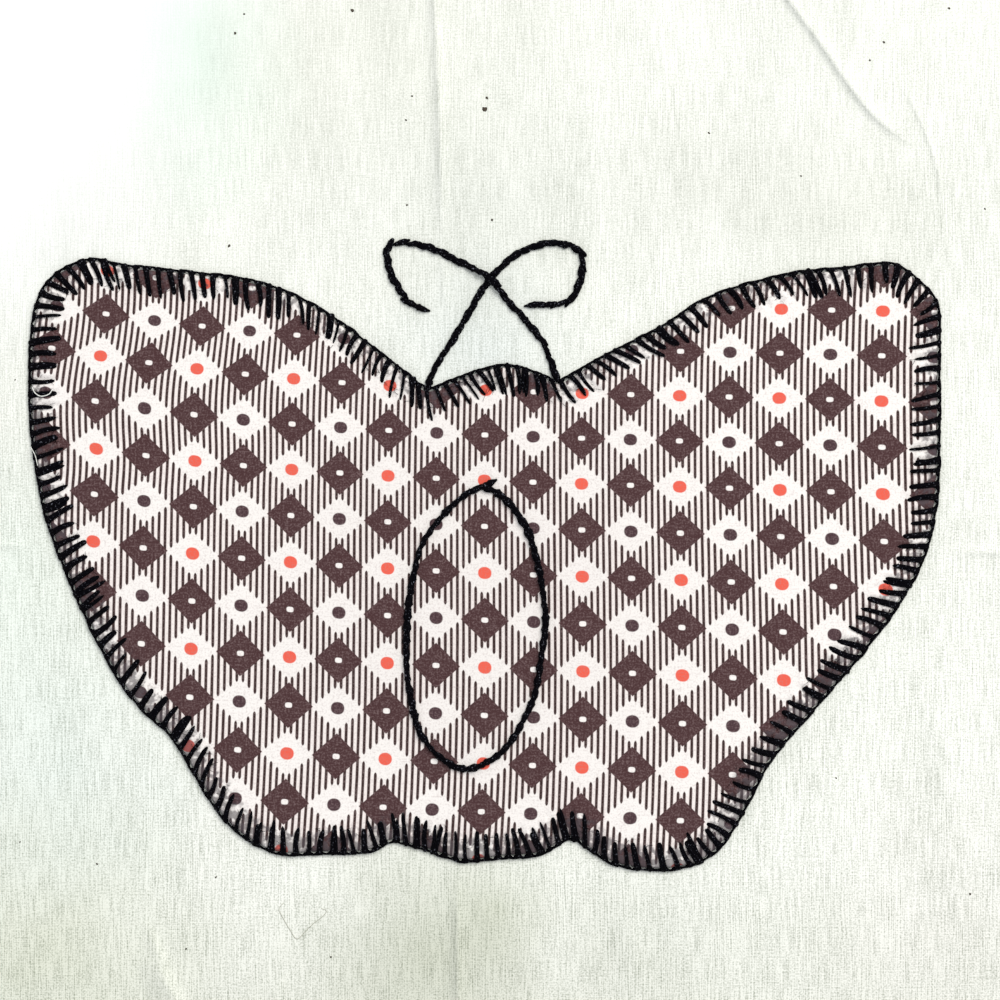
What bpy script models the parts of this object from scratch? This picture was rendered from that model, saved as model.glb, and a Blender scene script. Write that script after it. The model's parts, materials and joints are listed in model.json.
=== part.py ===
"""A quilt square lying flat: a butterfly of printed cotton, sewn with black floss to a square of muslin.

Everything is worked out in millimetres and turned into metres when a mesh is made. The origin is the middle
of the square, on the surface that it lies on. +X is the butterfly's right as seen from above, +Y is towards
its antennae, and +Z is up.
"""

import math
import random
from typing import NamedTuple

import bmesh
import bpy
import numpy as np
from mathutils.geometry import delaunay_2d_cdt

MM = 0.001
CLEARANCE = 0.3

# The muslin
MUSLIN_THICKNESS = 1.0
SQUARE_CORNERS = ((-127.0, -126.2), (126.3, -127.0), (127.0, 126.4), (-126.4, 127.0))
EDGE_WAVER = 0.5
EDGE_WAVES = 4
EDGE_POINT_PITCH = 21.0
GRID_PITCH = 25.0
FOLD_POINT_PITCH = 9.0

# The printed cotton
APPLIQUE_THICKNESS = 1.0
APPLIQUE_INSET = 0.9
TURNED_EDGE_ROUNDING = 0.35
TURNED_EDGE_SHARE = 0.3
APPLIQUE_LONGEST_RUN = 6.0
APPLIQUE_MOST_TURN_DEG = 10.0

# The blanket stitch
PURL_WIDTH = 0.9
PURL_OUTER_DROP = 0.2
LEG_LENGTH = 5.3
LEG_LENGTH_SPREAD = 0.5
LEG_ROOT_WIDTH = 1.1
LEG_TIP_WIDTH = 0.7
LEG_THICKNESS = 0.6
LEG_TIP_THICKNESS = 0.4
SPACING_SPREAD = 0.12
STITCH_SEED = 12
LEG_CORNER = 2

# The stem stitch
STEM_WIDTH = 1.4
STEM_HEIGHT = 0.7
STEM_STITCH = 2.6
STEM_NECK = 0.82
STEM_END = 0.55
STEM_CROWN = 0.3
STEM_SHOULDER = 0.45
CROSSING_HALF_LENGTH = 6.0

# Heights of each layer's underside
APPLIQUE_BASE = MUSLIN_THICKNESS + CLEARANCE
APPLIQUE_TOP = APPLIQUE_BASE + APPLIQUE_THICKNESS
LEG_BASE = APPLIQUE_TOP + CLEARANCE
STEM_ON_MUSLIN = MUSLIN_THICKNESS + CLEARANCE
STEM_ON_PRINT = APPLIQUE_TOP + CLEARANCE

MUSLIN_COLOUR = (0.88, 0.88, 0.82)
PRINT_COLOUR = (0.45, 0.34, 0.33)
FLOSS_COLOUR = (0.008, 0.008, 0.012)


class EdgePoint(NamedTuple):
    """A point of the butterfly's edge, with the way that the stitches point there and their spacing."""

    x: float
    y: float
    heading: float
    spacing: float


class Fold(NamedTuple):
    """A fold or crease of the muslin: its crest seen from above, and where it dies away."""

    crest: tuple
    height: float
    half_width: float
    fade_in: float
    fade_out: float


# The edge, clockwise from the notch at the left antenna, one span from each notch to the next
HEAD = (
    EdgePoint(-4.6, 31.5, -82, 1.9),
    EdgePoint(0.7, 33.6, -56, 1.9),
    EdgePoint(5.9, 35.6, -56, 1.9),
    EdgePoint(11.4, 36.7, -78, 1.9),
    EdgePoint(17.0, 35.3, -84, 1.9),
    EdgePoint(21.7, 33.0, -62, 2.0),
)
RIGHT_WINGS = (
    EdgePoint(21.7, 33.0, -62, 2.0),
    EdgePoint(30.5, 38.3, -32, 2.2),
    EdgePoint(40.3, 43.1, -41, 2.6),
    EdgePoint(46.5, 47.0, -46, 2.7),
    EdgePoint(49.8, 49.2, -47, 2.7),
    EdgePoint(56.1, 51.9, -60, 2.7),
    EdgePoint(66.0, 54.4, -57, 2.7),
    EdgePoint(70.9, 55.3, -66, 2.7),
    EdgePoint(76.2, 55.8, -71, 2.7),
    EdgePoint(82.3, 56.5, -80, 2.7),
    EdgePoint(88.3, 57.1, -97, 2.7),
    EdgePoint(91.8, 55.3, -113, 2.7),
    EdgePoint(94.1, 53.2, -122, 2.7),
    EdgePoint(96.4, 51.1, -137, 2.6),
    EdgePoint(97.7, 48.4, -152, 2.6),
    EdgePoint(97.9, 45.6, -166, 2.6),
    EdgePoint(97.8, 34.9, -172, 2.6),
    EdgePoint(97.7, 18.0, -173, 2.6),
    EdgePoint(96.5, 4.8, -178, 2.6),
    EdgePoint(92.6, -6.0, 172, 2.7),
    EdgePoint(84.4, -18.2, 158, 2.8),
    EdgePoint(71.2, -33.8, 157, 2.8),
    EdgePoint(64.1, -42.2, 163, 2.7),
    EdgePoint(57.3, -54.9, 154, 2.7),
    EdgePoint(51.8, -61.5, 124, 2.6),
    EdgePoint(44.5, -63.9, 105, 2.5),
    EdgePoint(35.0, -63.5, 97, 2.4),
    EdgePoint(28.7, -60.5, 89, 2.2),
    EdgePoint(24.5, -57.1, 104, 2.0),
)
TAIL = (
    EdgePoint(24.5, -57.1, 104, 2.0),
    EdgePoint(18.3, -60.8, 112, 2.1),
    EdgePoint(10.6, -61.5, 96, 2.1),
    EdgePoint(3.0, -62.3, 91, 2.1),
    EdgePoint(-3.3, -60.5, 82, 2.1),
    EdgePoint(-11.5, -58.0, 99, 2.1),
)
LEFT_WINGS = (
    EdgePoint(-11.5, -58.0, 99, 2.1),
    EdgePoint(-16.4, -60.4, 103, 2.2),
    EdgePoint(-25.0, -60.7, 90, 2.3),
    EdgePoint(-34.9, -60.6, 86, 2.5),
    EdgePoint(-43.0, -56.0, 71, 2.7),
    EdgePoint(-47.6, -50.3, 67, 2.8),
    EdgePoint(-50.7, -45.1, 62, 2.8),
    EdgePoint(-55.8, -37.0, 56, 2.8),
    EdgePoint(-62.3, -31.0, 57, 2.8),
    EdgePoint(-66.8, -24.6, 50, 2.8),
    EdgePoint(-70.9, -17.0, 42, 2.8),
    EdgePoint(-76.4, -4.8, 31, 2.7),
    EdgePoint(-80.6, 7.0, 24, 2.6),
    EdgePoint(-83.0, 20.0, 15, 2.6),
    EdgePoint(-83.8, 32.0, 4, 2.6),
    EdgePoint(-83.0, 46.4, 3, 2.6),
    EdgePoint(-80.0, 53.7, -34, 2.6),
    EdgePoint(-73.9, 57.4, -62, 2.5),
    EdgePoint(-70.0, 57.7, -70, 2.4),
    EdgePoint(-65.0, 56.6, -76, 2.3),
    EdgePoint(-50.0, 55.0, -84, 2.2),
    EdgePoint(-37.5, 53.0, -88, 2.2),
    EdgePoint(-27.1, 48.6, -92, 2.2),
    EdgePoint(-17.3, 41.8, -115, 2.1),
    EdgePoint(-10.1, 36.1, -99, 2.0),
    EdgePoint(-4.6, 31.5, -82, 1.9),
)

# Each antenna from its root at the butterfly's edge to its free end
ANTENNA_LEFT = (
    (-4.3, 32.9), (-2.6, 36.7), (-0.3, 40.4), (1.7, 43.5), (5.7, 50.4), (8.1, 54.0), (12.4, 58.2),
    (16.2, 60.2), (20.7, 61.2), (24.6, 60.4), (26.4, 58.9), (26.6, 56.8), (26.2, 54.0), (24.7, 50.5),
    (23.2, 49.3), (19.4, 48.8), (16.0, 48.9),
)
ANTENNA_RIGHT = (
    (21.2, 34.6), (20.0, 38.3), (18.3, 41.8), (15.3, 45.6), (12.2, 49.0), (8.1, 54.0), (4.1, 56.3),
    (0.1, 58.3), (-3.9, 60.2), (-8.6, 61.2), (-11.0, 61.0), (-12.5, 59.9), (-12.3, 57.8), (-11.6, 55.0),
    (-9.9, 51.8), (-7.6, 48.9), (-4.4, 47.8),
)
CROSSING = (8.1, 54.0)

# The outline of the body, from its top round to the right and back, where its two ends meet
BODY_OVAL = (
    (6.8, 12.5), (10.4, 10.6), (13.5, 7.2), (15.7, 3.5), (17.1, -0.8), (18.4, -6.8), (19.2, -13.8),
    (18.7, -19.2), (17.2, -28.5), (15.4, -32.8), (13.1, -37.2), (10.1, -40.8), (6.7, -42.9), (3.0, -43.9),
    (-0.6, -42.4), (-3.9, -39.5), (-6.4, -35.2), (-8.2, -26.8), (-8.6, -20.8), (-8.1, -10.8), (-6.6, -2.8),
    (-5.3, 1.2), (-2.9, 4.8), (0.2, 8.3), (3.7, 11.2), (6.8, 12.5),
)

# Folds that run off the cloth have a fade of 0 at that end
FOLDS = {
    "centre fold above the head": Fold(((-4.0, 131.0), (-3.7, 100.0), (-2.3, 62.0)), 0.8, 1.8, 0.0, 14.0),
    "centre fold below the tail": Fold(((1.9, -66.5), (2.0, -92.0), (2.5, -131.0)), 0.8, 1.8, 7.0, 0.0),
    "cross fold on the left": Fold(((-131.0, 1.2), (-105.0, 0.9), (-82.5, 0.7)), 0.5, 1.7, 0.0, 9.0),
    "cross fold on the right": Fold(((98.5, -0.6), (112.0, -0.8), (131.0, -1.1)), 0.5, 1.7, 7.0, 0.0),
    "upper corner crease": Fold(
        ((52.6, 131.0), (67.6, 110.2), (82.8, 89.4), (92.9, 80.7)), 1.2, 2.2, 0.0, 12.0
    ),
    "its branch": Fold(((89.5, 92.5), (95.0, 83.5), (98.0, 67.0)), 0.4, 1.6, 6.0, 8.0),
    "lower corner crease": Fold(((-60.5, -76.4), (-52.3, -90.2), (-28.5, -131.0)), 1.0, 2.1, 9.0, 0.0),
    "swell below the right wing": Fold(((35.5, -68.0), (36.5, -90.0)), 0.4, 5.0, 8.0, 8.0),
    "swell beside the right wing": Fold(((97.5, -28.0), (98.5, -50.0)), 0.4, 4.0, 8.0, 8.0),
}
FOLD_SIDES = (-1.0, -0.5, 0.0, 0.5, 1.0)


def clear_scene():
    """Remove every object of the scene."""
    for obj in list(bpy.data.objects):
        bpy.data.objects.remove(obj, do_unlink=True)


def fabric_material(name, colour, roughness):
    """A plain Principled material of this colour and roughness."""
    material = bpy.data.materials.new(name)
    material.use_nodes = True
    shader = material.node_tree.nodes["Principled BSDF"]
    shader.inputs["Base Color"].default_value = (*colour, 1.0)
    shader.inputs["Roughness"].default_value = roughness
    shader.inputs["Metallic"].default_value = 0.0
    return material


def add_object(name, mesh_builder, material):
    """Turn a finished bmesh, in millimetres, into a named object in metres."""
    bmesh.ops.recalc_face_normals(mesh_builder, faces=mesh_builder.faces)
    bmesh.ops.scale(mesh_builder, vec=(MM, MM, MM), verts=mesh_builder.verts)
    mesh = bpy.data.meshes.new(name)
    mesh_builder.to_mesh(mesh)
    mesh_builder.free()
    mesh.materials.append(material)
    obj = bpy.data.objects.new(name, mesh)
    bpy.context.scene.collection.objects.link(obj)
    return obj


def smooth_curve(points, steps=16):
    """Points along a Catmull-Rom curve through the given ones, which may have any number of columns."""
    rows = np.array(points, float)
    first = 2 * rows[0] - rows[1]
    last = 2 * rows[-1] - rows[-2]
    rows = np.vstack([first, rows, last])
    found = []
    for before, start, end, after in zip(rows, rows[1:], rows[2:], rows[3:]):
        for step in range(steps):
            t = step / steps
            found.append(
                0.5
                * (
                    2 * start
                    + (end - before) * t
                    + (2 * before - 5 * start + 4 * end - after) * t**2
                    + (3 * start - before - 3 * end + after) * t**3
                )
            )
    found.append(rows[-2])
    return np.array(found)


def lengths_along(points):
    """The distance from the first point to each point, along them."""
    steps = np.hypot(*np.diff(points[:, :2], axis=0).T)
    return np.concatenate([[0.0], np.cumsum(steps)])


def spaced(points, pitch):
    """The curve through these points, resampled at about this pitch."""
    along = lengths_along(points)
    count = max(2, round(along[-1] / pitch) + 1)
    places = np.linspace(0.0, along[-1], count)
    return np.stack([np.interp(places, along, column) for column in points.T], axis=1)


class Edge:
    """The butterfly's closed edge, read by its distance along it."""

    SAMPLE = 0.25
    SOFTENING = 1.5

    def __init__(self, spans):
        rows = np.vstack([smooth_curve(span)[:-1] for span in map(self.turned, spans)])
        rows = np.vstack([rows, rows[:1]])
        rows[:, 2] = np.unwrap(rows[:, 2], period=360.0)
        rows = spaced(rows, self.SAMPLE)[:-1]
        reach = round(self.SOFTENING / self.SAMPLE)
        rolled = [np.roll(rows[:, :2], shift, axis=0) for shift in range(-reach, reach + 1)]
        rows[:, :2] = np.mean(rolled, axis=0)
        closed = np.vstack([rows, rows[:1]])
        closed[-1, 2] = np.unwrap(closed[-2:, 2], period=360.0)[-1]
        self.rows = closed
        self.along = lengths_along(closed)
        self.length = self.along[-1]
        ahead = np.roll(rows[:, :2], -1, axis=0) - np.roll(rows[:, :2], 1, axis=0)
        ahead /= np.hypot(*ahead.T)[:, None]
        outward = np.stack([-ahead[:, 1], ahead[:, 0]], axis=1)
        self.outward = np.vstack([outward, outward[:1]])

    @staticmethod
    def turned(span):
        """The span's rows, with headings that don't jump past half a turn."""
        rows = np.array(span, float)
        rows[:, 2] = np.unwrap(rows[:, 2], period=360.0)
        return rows

    def at(self, place):
        """Where the edge is at this distance along it: x, y, heading, spacing, and the way out."""
        place %= self.length
        row = [np.interp(place, self.along, column) for column in self.rows.T]
        out = np.array([np.interp(place, self.along, column) for column in self.outward.T])
        return np.array(row[:2]), row[2], row[3], out / np.hypot(*out)

    def turning_places(self, longest_run, most_turn_deg):
        """Places along the edge, closer together where it turns."""
        places = [0.0]
        way = self.outward[0]
        for place, out in zip(self.along[1:-1], self.outward[1:-1]):
            turned = math.degrees(math.acos(float(np.clip(np.dot(way, out), -1.0, 1.0))))
            if turned > most_turn_deg or place - places[-1] > longest_run:
                places.append(place)
                way = out
        return places

    def inset_loop(self, places, inset):
        """The edge moved in by this much, as a point for each place."""
        return [self.at(place)[0] - self.at(place)[3] * inset for place in places]


def fold_crest(fold):
    """The crest's smooth curve, with a point every few millimetres."""
    return spaced(smooth_curve(fold.crest), FOLD_POINT_PITCH)


def fold_lines(fold):
    """The crest and the lines beside it that the fold's round section needs."""
    crest = fold_crest(fold)
    ahead = np.gradient(crest, axis=0)
    ahead /= np.hypot(*ahead.T)[:, None]
    sideways = np.stack([-ahead[:, 1], ahead[:, 0]], axis=1)
    return [crest + sideways * side * fold.half_width for side in FOLD_SIDES]


def fade(place, length, fade_in, fade_out):
    """From 0 at an end that dies away to 1 along the fold."""
    rise = min(1.0, place / fade_in) if fade_in else 1.0
    fall = min(1.0, (length - place) / fade_out) if fade_out else 1.0
    return rise * fall


def fold_lift(fold, crest, point):
    """How high this fold lifts the cloth at a point."""
    along = lengths_along(crest)
    best = (math.inf, 0.0)
    for start, end, place in zip(crest, crest[1:], along):
        run = end - start
        t = float(np.clip(np.dot(point - start, run) / np.dot(run, run), 0.0, 1.0))
        distance = math.dist(point, start + run * t)
        best = min(best, (distance, place + t * math.hypot(*run)))
    distance, place = best
    if distance >= fold.half_width:
        return 0.0
    section = 0.5 * (1.0 + math.cos(math.pi * distance / fold.half_width))
    return fold.height * section * fade(place, along[-1], fold.fade_in, fold.fade_out)


CRESTS = tuple((fold, fold_crest(fold)) for fold in FOLDS.values())


def lift(x, y):
    """How high the folds lift the cloth at a point."""
    return max(fold_lift(fold, crest, np.array([x, y])) for fold, crest in CRESTS)


def square_outline():
    """The muslin's cut edge: four sides, each wavering a little inwards."""
    outline = []
    sides = zip(SQUARE_CORNERS, SQUARE_CORNERS[1:] + SQUARE_CORNERS[:1])
    for number, (start, end) in enumerate(sides):
        start, end = np.array(start), np.array(end)
        run = end - start
        length = math.hypot(*run)
        inward = np.array([-run[1], run[0]]) / length
        count = round(length / EDGE_POINT_PITCH)
        for step in range(count):
            t = step / count
            waver = EDGE_WAVER * math.sin(math.pi * t) * math.sin((EDGE_WAVES + number) * t + number) ** 2
            outline.append(tuple(start + run * t + inward * waver))
    return outline


def sheet_plan():
    """The muslin's plan, as points and triangles with an edge along every line of every fold."""
    points = square_outline()
    boundary = list(range(len(points)))
    half = SQUARE_CORNERS[2][0] - GRID_PITCH / 2
    places = np.linspace(-half, half, round(2 * half / GRID_PITCH) + 1)
    points += [(x, y) for x in places for y in places if clear_of_folds(x, y)]
    edges = []
    for fold in FOLDS.values():
        for line in fold_lines(fold):
            first = len(points)
            points += [tuple(point) for point in line]
            edges += [(i, i + 1) for i in range(first, len(points) - 1)]
    plan, _, faces, *_ = delaunay_2d_cdt(points, edges, [boundary], 1, 1e-4)
    return plan, faces


def clear_of_folds(x, y):
    """Whether a point of the grid lies away from every fold."""
    point = np.array([x, y])
    nearest = min(np.min(np.hypot(*(crest - point).T)) for _, crest in CRESTS)
    return nearest > FOLD_POINT_PITCH


def build_ground_square(material):
    """The muslin, flat beneath except where a fold lifts it."""
    plan, faces = sheet_plan()
    bm = bmesh.new()
    verts = [bm.verts.new((x, y, lift(x, y))) for x, y in plan]
    for face in faces:
        bm.faces.new([verts[i] for i in face])
    underside = list(bm.faces)
    raised = bmesh.ops.extrude_face_region(bm, geom=underside, use_keep_orig=True)
    top = [item for item in raised["geom"] if isinstance(item, bmesh.types.BMVert)]
    bmesh.ops.translate(bm, vec=(0.0, 0.0, MUSLIN_THICKNESS), verts=top)
    bmesh.ops.delete(bm, geom=[v for v in bm.verts if not v.link_faces], context="VERTS")
    return add_object("ground_square", bm, material)


def build_applique(edge, material):
    """The printed cotton, its turned edge rounded."""
    low, high = APPLIQUE_BASE, APPLIQUE_TOP
    levels = (
        (TURNED_EDGE_ROUNDING, low),
        (0.0, low + APPLIQUE_THICKNESS * TURNED_EDGE_SHARE),
        (0.0, high - APPLIQUE_THICKNESS * TURNED_EDGE_SHARE),
        (TURNED_EDGE_ROUNDING, high),
    )
    places = edge.turning_places(APPLIQUE_LONGEST_RUN, APPLIQUE_MOST_TURN_DEG)
    bm = bmesh.new()
    rings = []
    for rounding, z in levels:
        loop = edge.inset_loop(places, APPLIQUE_INSET + rounding)
        rings.append([bm.verts.new((x, y, z)) for x, y in loop])
    join_rings(bm, rings, round_about=False)
    bm.faces.new(rings[0])
    bm.faces.new(rings[-1])
    bmesh.ops.triangulate(bm, faces=[f for f in bm.faces if len(f.verts) > 4])
    return add_object("butterfly_applique", bm, material)


def join_rings(bm, rings, round_about):
    """Faces between each ring and the next, and from the last to the first if it goes round about."""
    pairs = list(zip(rings, rings[1:]))
    if round_about:
        pairs.append((rings[-1], rings[0]))
    for near, far in pairs:
        for i in range(len(near)):
            after = (i + 1) % len(near)
            bm.faces.new((near[i], near[after], far[after], far[i]))


def stitch_places(edge, rng):
    """Where each blanket stitch stands along the edge, unevenly spaced as sewn by hand."""
    gaps = []
    place = 0.0
    while place < edge.length:
        _, _, spacing, _ = edge.at(place)
        gaps.append(spacing * rng.uniform(1.0 - SPACING_SPREAD, 1.0 + SPACING_SPREAD))
        place += gaps[-1]
    return np.cumsum(gaps) * edge.length / sum(gaps)


def purl_section(bm, edge, place):
    """The purl's five corners at a place along the edge, from its outer foot round to its inner foot."""
    centre, _, _, out = edge.at(place)
    half = PURL_WIDTH / 2
    top = LEG_BASE + LEG_THICKNESS
    corners = (
        (half, APPLIQUE_BASE),
        (half, top - PURL_OUTER_DROP),
        (-half, top),
        (-half, LEG_BASE),
        (-half, APPLIQUE_BASE),
    )
    return [bm.verts.new((*(centre + out * side), z)) for side, z in corners]


def leg_tip(bm, edge, place, length):
    """The leg's four corners at its inner end, in the order of its root's."""
    centre, heading, _, _ = edge.at(place)
    ahead = np.array([math.cos(math.radians(heading)), math.sin(math.radians(heading))])
    across = np.array([-ahead[1], ahead[0]]) * LEG_TIP_WIDTH / 2
    end = centre + ahead * length
    high = LEG_BASE + LEG_TIP_THICKNESS
    corners = ((-1, high), (-1, LEG_BASE), (1, LEG_BASE), (1, high))
    return [bm.verts.new((*(end + across * side), z)) for side, z in corners]


def build_blanket_stitch(edge, material):
    """The purl all round the butterfly, and each leg fused to it."""
    bm = bmesh.new()
    rng = random.Random(STITCH_SEED)
    sections = []
    for place in stitch_places(edge, rng):
        near = purl_section(bm, edge, place - LEG_ROOT_WIDTH / 2)
        far = purl_section(bm, edge, place + LEG_ROOT_WIDTH / 2)
        length = LEG_LENGTH + rng.uniform(-LEG_LENGTH_SPREAD, LEG_LENGTH_SPREAD)
        tip = leg_tip(bm, edge, place, length)
        root = (near[LEG_CORNER], near[LEG_CORNER + 1], far[LEG_CORNER + 1], far[LEG_CORNER])
        for i in range(4):
            bm.faces.new((root[i], root[(i + 1) % 4], tip[(i + 1) % 4], tip[i]))
        bm.faces.new(tip)
        sections += [near, far]
    corners = len(sections[0])
    for i, (near, far) in enumerate(zip(sections, sections[1:] + sections[:1])):
        leg_leaves_here = i % 2 == 0
        for corner in range(corners):
            if leg_leaves_here and corner == LEG_CORNER:
                continue
            after = (corner + 1) % corners
            bm.faces.new((near[corner], near[after], far[after], far[corner]))
    return add_object("blanket_stitch_edge", bm, material)


def stem_section(width, height):
    """A stem stitch's section: flat beneath, rounded above."""
    half, crown, shoulder = width / 2, width * STEM_CROWN, height * STEM_SHOULDER
    return (
        (-half, shoulder),
        (-crown, height),
        (crown, height),
        (half, shoulder),
        (crown, 0.0),
        (-crown, 0.0),
    )


def stem_rings(bm, path, bases, round_about):
    """Rings along a line of stem stitch, wide at each stitch's middle and narrow between stitches."""
    if round_about:
        ahead = np.roll(path, -1, axis=0) - np.roll(path, 1, axis=0)
    else:
        ahead = np.gradient(path, axis=0)
    ahead /= np.hypot(*ahead.T)[:, None]
    rings = []
    for i, (point, way, base) in enumerate(zip(path, ahead, bases)):
        across = np.array([-way[1], way[0]])
        width = STEM_WIDTH if i % 2 == 0 else STEM_WIDTH * STEM_NECK
        if not round_about and i in (0, len(path) - 1):
            width = STEM_WIDTH * STEM_END
        section = stem_section(width, STEM_HEIGHT)
        rings.append([bm.verts.new((*(point + across * side), base + up)) for side, up in section])
    return rings


def build_antenna(name, points, over, material):
    """One antenna. The one that crosses over the other rises above it in a long low hump."""
    path = spaced(smooth_curve(points), STEM_STITCH / 2)
    bases = [STEM_ON_MUSLIN + lift(x, y) for x, y in path]
    if over:
        bases = [base + crossing_rise(point) for base, point in zip(bases, path)]
    bm = bmesh.new()
    rings = stem_rings(bm, path, bases, round_about=False)
    join_rings(bm, rings, round_about=False)
    bm.faces.new(rings[0])
    bm.faces.new(rings[-1])
    return add_object(name, bm, material)


def crossing_rise(point):
    """How far the upper antenna rises at a point near the crossing."""
    reach = max(0.0, 1.0 - math.dist(point, CROSSING) / CROSSING_HALF_LENGTH)
    level = min(1.0, 2.0 * reach)
    return (STEM_HEIGHT + CLEARANCE) * 0.5 * (1.0 - math.cos(math.pi * level))


def build_body_oval(material):
    """The body's outline, a closed oval with a slight point at its top."""
    outline = smooth_curve(BODY_OVAL)
    stitches = round(lengths_along(outline)[-1] / STEM_STITCH)
    path = spaced(outline, lengths_along(outline)[-1] / (2 * stitches))[:-1]
    bm = bmesh.new()
    rings = stem_rings(bm, path, [STEM_ON_PRINT] * len(path), round_about=True)
    join_rings(bm, rings, round_about=True)
    return add_object("body_oval", bm, material)


def main():
    """Build each piece of the square, from the muslin up."""
    clear_scene()
    edge = Edge((HEAD, RIGHT_WINGS, TAIL, LEFT_WINGS))
    build_ground_square(fabric_material("muslin", MUSLIN_COLOUR, 0.9))
    build_applique(edge, fabric_material("printed_cotton", PRINT_COLOUR, 0.85))
    build_blanket_stitch(edge, fabric_material("edge_floss", FLOSS_COLOUR, 0.55))
    build_antenna("antenna_left", ANTENNA_LEFT, False, fabric_material("left_floss", FLOSS_COLOUR, 0.55))
    build_antenna("antenna_right", ANTENNA_RIGHT, True, fabric_material("right_floss", FLOSS_COLOUR, 0.55))
    build_body_oval(fabric_material("body_floss", FLOSS_COLOUR, 0.55))


main()
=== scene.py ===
"""A quilt square lying flat: a butterfly of printed cotton, sewn with black floss to a square of muslin.

Everything is worked out in millimetres and turned into metres when a mesh is made. The origin is the middle of
the square, on the surface that it lies on. +X is the butterfly's right as seen from above, +Y is towards its
antennae, and +Z is up. Each piece lies where its solid is, and takes that solid's place.
"""

from __future__ import annotations

import json
import logging
import math
import random
from collections.abc import Sequence
from dataclasses import dataclass, field
from enum import Enum
from typing import Any, NamedTuple

import bmesh
import bpy
import numpy as np
from mathutils.geometry import delaunay_2d_cdt
from mathutils.kdtree import KDTree
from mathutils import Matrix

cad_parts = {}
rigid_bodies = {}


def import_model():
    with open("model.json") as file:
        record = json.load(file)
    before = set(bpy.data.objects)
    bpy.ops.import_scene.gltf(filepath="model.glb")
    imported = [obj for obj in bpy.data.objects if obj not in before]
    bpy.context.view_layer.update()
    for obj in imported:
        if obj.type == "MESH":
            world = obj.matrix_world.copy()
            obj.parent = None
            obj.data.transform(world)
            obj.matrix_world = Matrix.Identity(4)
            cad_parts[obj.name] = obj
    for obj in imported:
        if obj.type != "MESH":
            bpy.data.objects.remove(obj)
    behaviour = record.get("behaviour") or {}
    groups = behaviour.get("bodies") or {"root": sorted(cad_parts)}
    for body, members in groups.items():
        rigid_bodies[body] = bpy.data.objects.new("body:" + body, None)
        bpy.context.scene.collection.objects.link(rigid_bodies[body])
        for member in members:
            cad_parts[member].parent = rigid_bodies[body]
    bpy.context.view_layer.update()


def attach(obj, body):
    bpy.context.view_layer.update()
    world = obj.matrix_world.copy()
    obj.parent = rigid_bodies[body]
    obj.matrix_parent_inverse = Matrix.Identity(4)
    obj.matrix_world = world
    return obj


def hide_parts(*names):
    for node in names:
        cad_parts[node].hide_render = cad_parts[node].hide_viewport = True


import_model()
LOG = logging.getLogger("quilt_square")

MM = 0.001
UP = np.array([0.0, 0.0, 1.0])

# Heights of the layers: the muslin's upper face under the butterfly, and the print's upper face
MUSLIN_TOP = 1.0
PRINT_TOP = 2.1

Row = tuple[float, ...]
Steps = Sequence[tuple[Any, ...]]


# ---------------------------------------------------------------- shared shapes


class Slope(Enum):
    """How the sides of a fold fall away from its crest."""

    HOLLOW = "steepest at the crest"
    FLAT = "even, and narrower where the fold is lower"
    ROUND = "rounded at the crest and at the foot"


class Fold(NamedTuple):
    """A fold or crease of the muslin.

    Left and right are how far it reaches on either hand on the way along its crest. The fades are the lengths
    over which it dies away at each end, 0 where it runs off the cloth.
    """

    crest: tuple[Row, ...]
    height: float
    left: float
    right: float
    fade_in: float
    fade_out: float
    slope: Slope = Slope.HOLLOW


FOLDS = (
    Fold(((-1.4, 62.0), (-1.9, 86.0), (-2.9, 110.0), (-3.9, 131.0)), 1.15, 2.6, 1.9, 14.0, 0.0),
    Fold(((2.5, -131.0), (1.8, -92.0), (1.7, -66.5)), 1.1, 2.4, 1.7, 0.0, 7.0),
    Fold(((-131.0, 1.2), (-105.0, 0.9), (-82.5, 0.7)), 0.42, 1.7, 1.7, 0.0, 9.0),
    Fold(((98.5, -0.6), (112.0, -0.8), (131.0, -1.1)), 0.42, 1.7, 1.7, 7.0, 0.0),
    Fold(
        ((53.2, 131.0), (67.5, 110.3), (73.7, 101.8), (79.9, 92.8), (85.7, 85.8), (92.9, 80.6)),
        1.1, 3.2, 1.8, 0.0, 10.0,
    ),
    Fold(((90.2, 93.2), (94.0, 86.0), (97.6, 76.0), (98.6, 67.0)), 0.36, 1.6, 1.2, 5.0, 8.0),
    Fold(
        ((-60.4, -74.5), (-59.0, -78.5), (-57.4, -83.3), (-56.0, -87.8), (-33.0, -131.0)),
        1.3, 2.4, 4.6, 11.0, 0.0, Slope.FLAT,
    ),
    Fold(((-32.3, -85.2), (-35.2, -89.5), (-38.0, -97.0)), 0.42, 0.9, 1.4, 4.0, 5.0, Slope.FLAT),
    Fold(((35.5, -68.0), (36.5, -90.0)), 0.5, 5.0, 5.0, 8.0, 8.0, Slope.ROUND),
    Fold(((97.5, -28.0), (98.5, -50.0)), 0.42, 4.0, 4.0, 8.0, 8.0, Slope.ROUND),
    Fold(((-0.6, 46.0), (-1.6, 62.0)), 0.22, 1.4, 1.4, 5.0, 5.0, Slope.ROUND),
)

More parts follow.
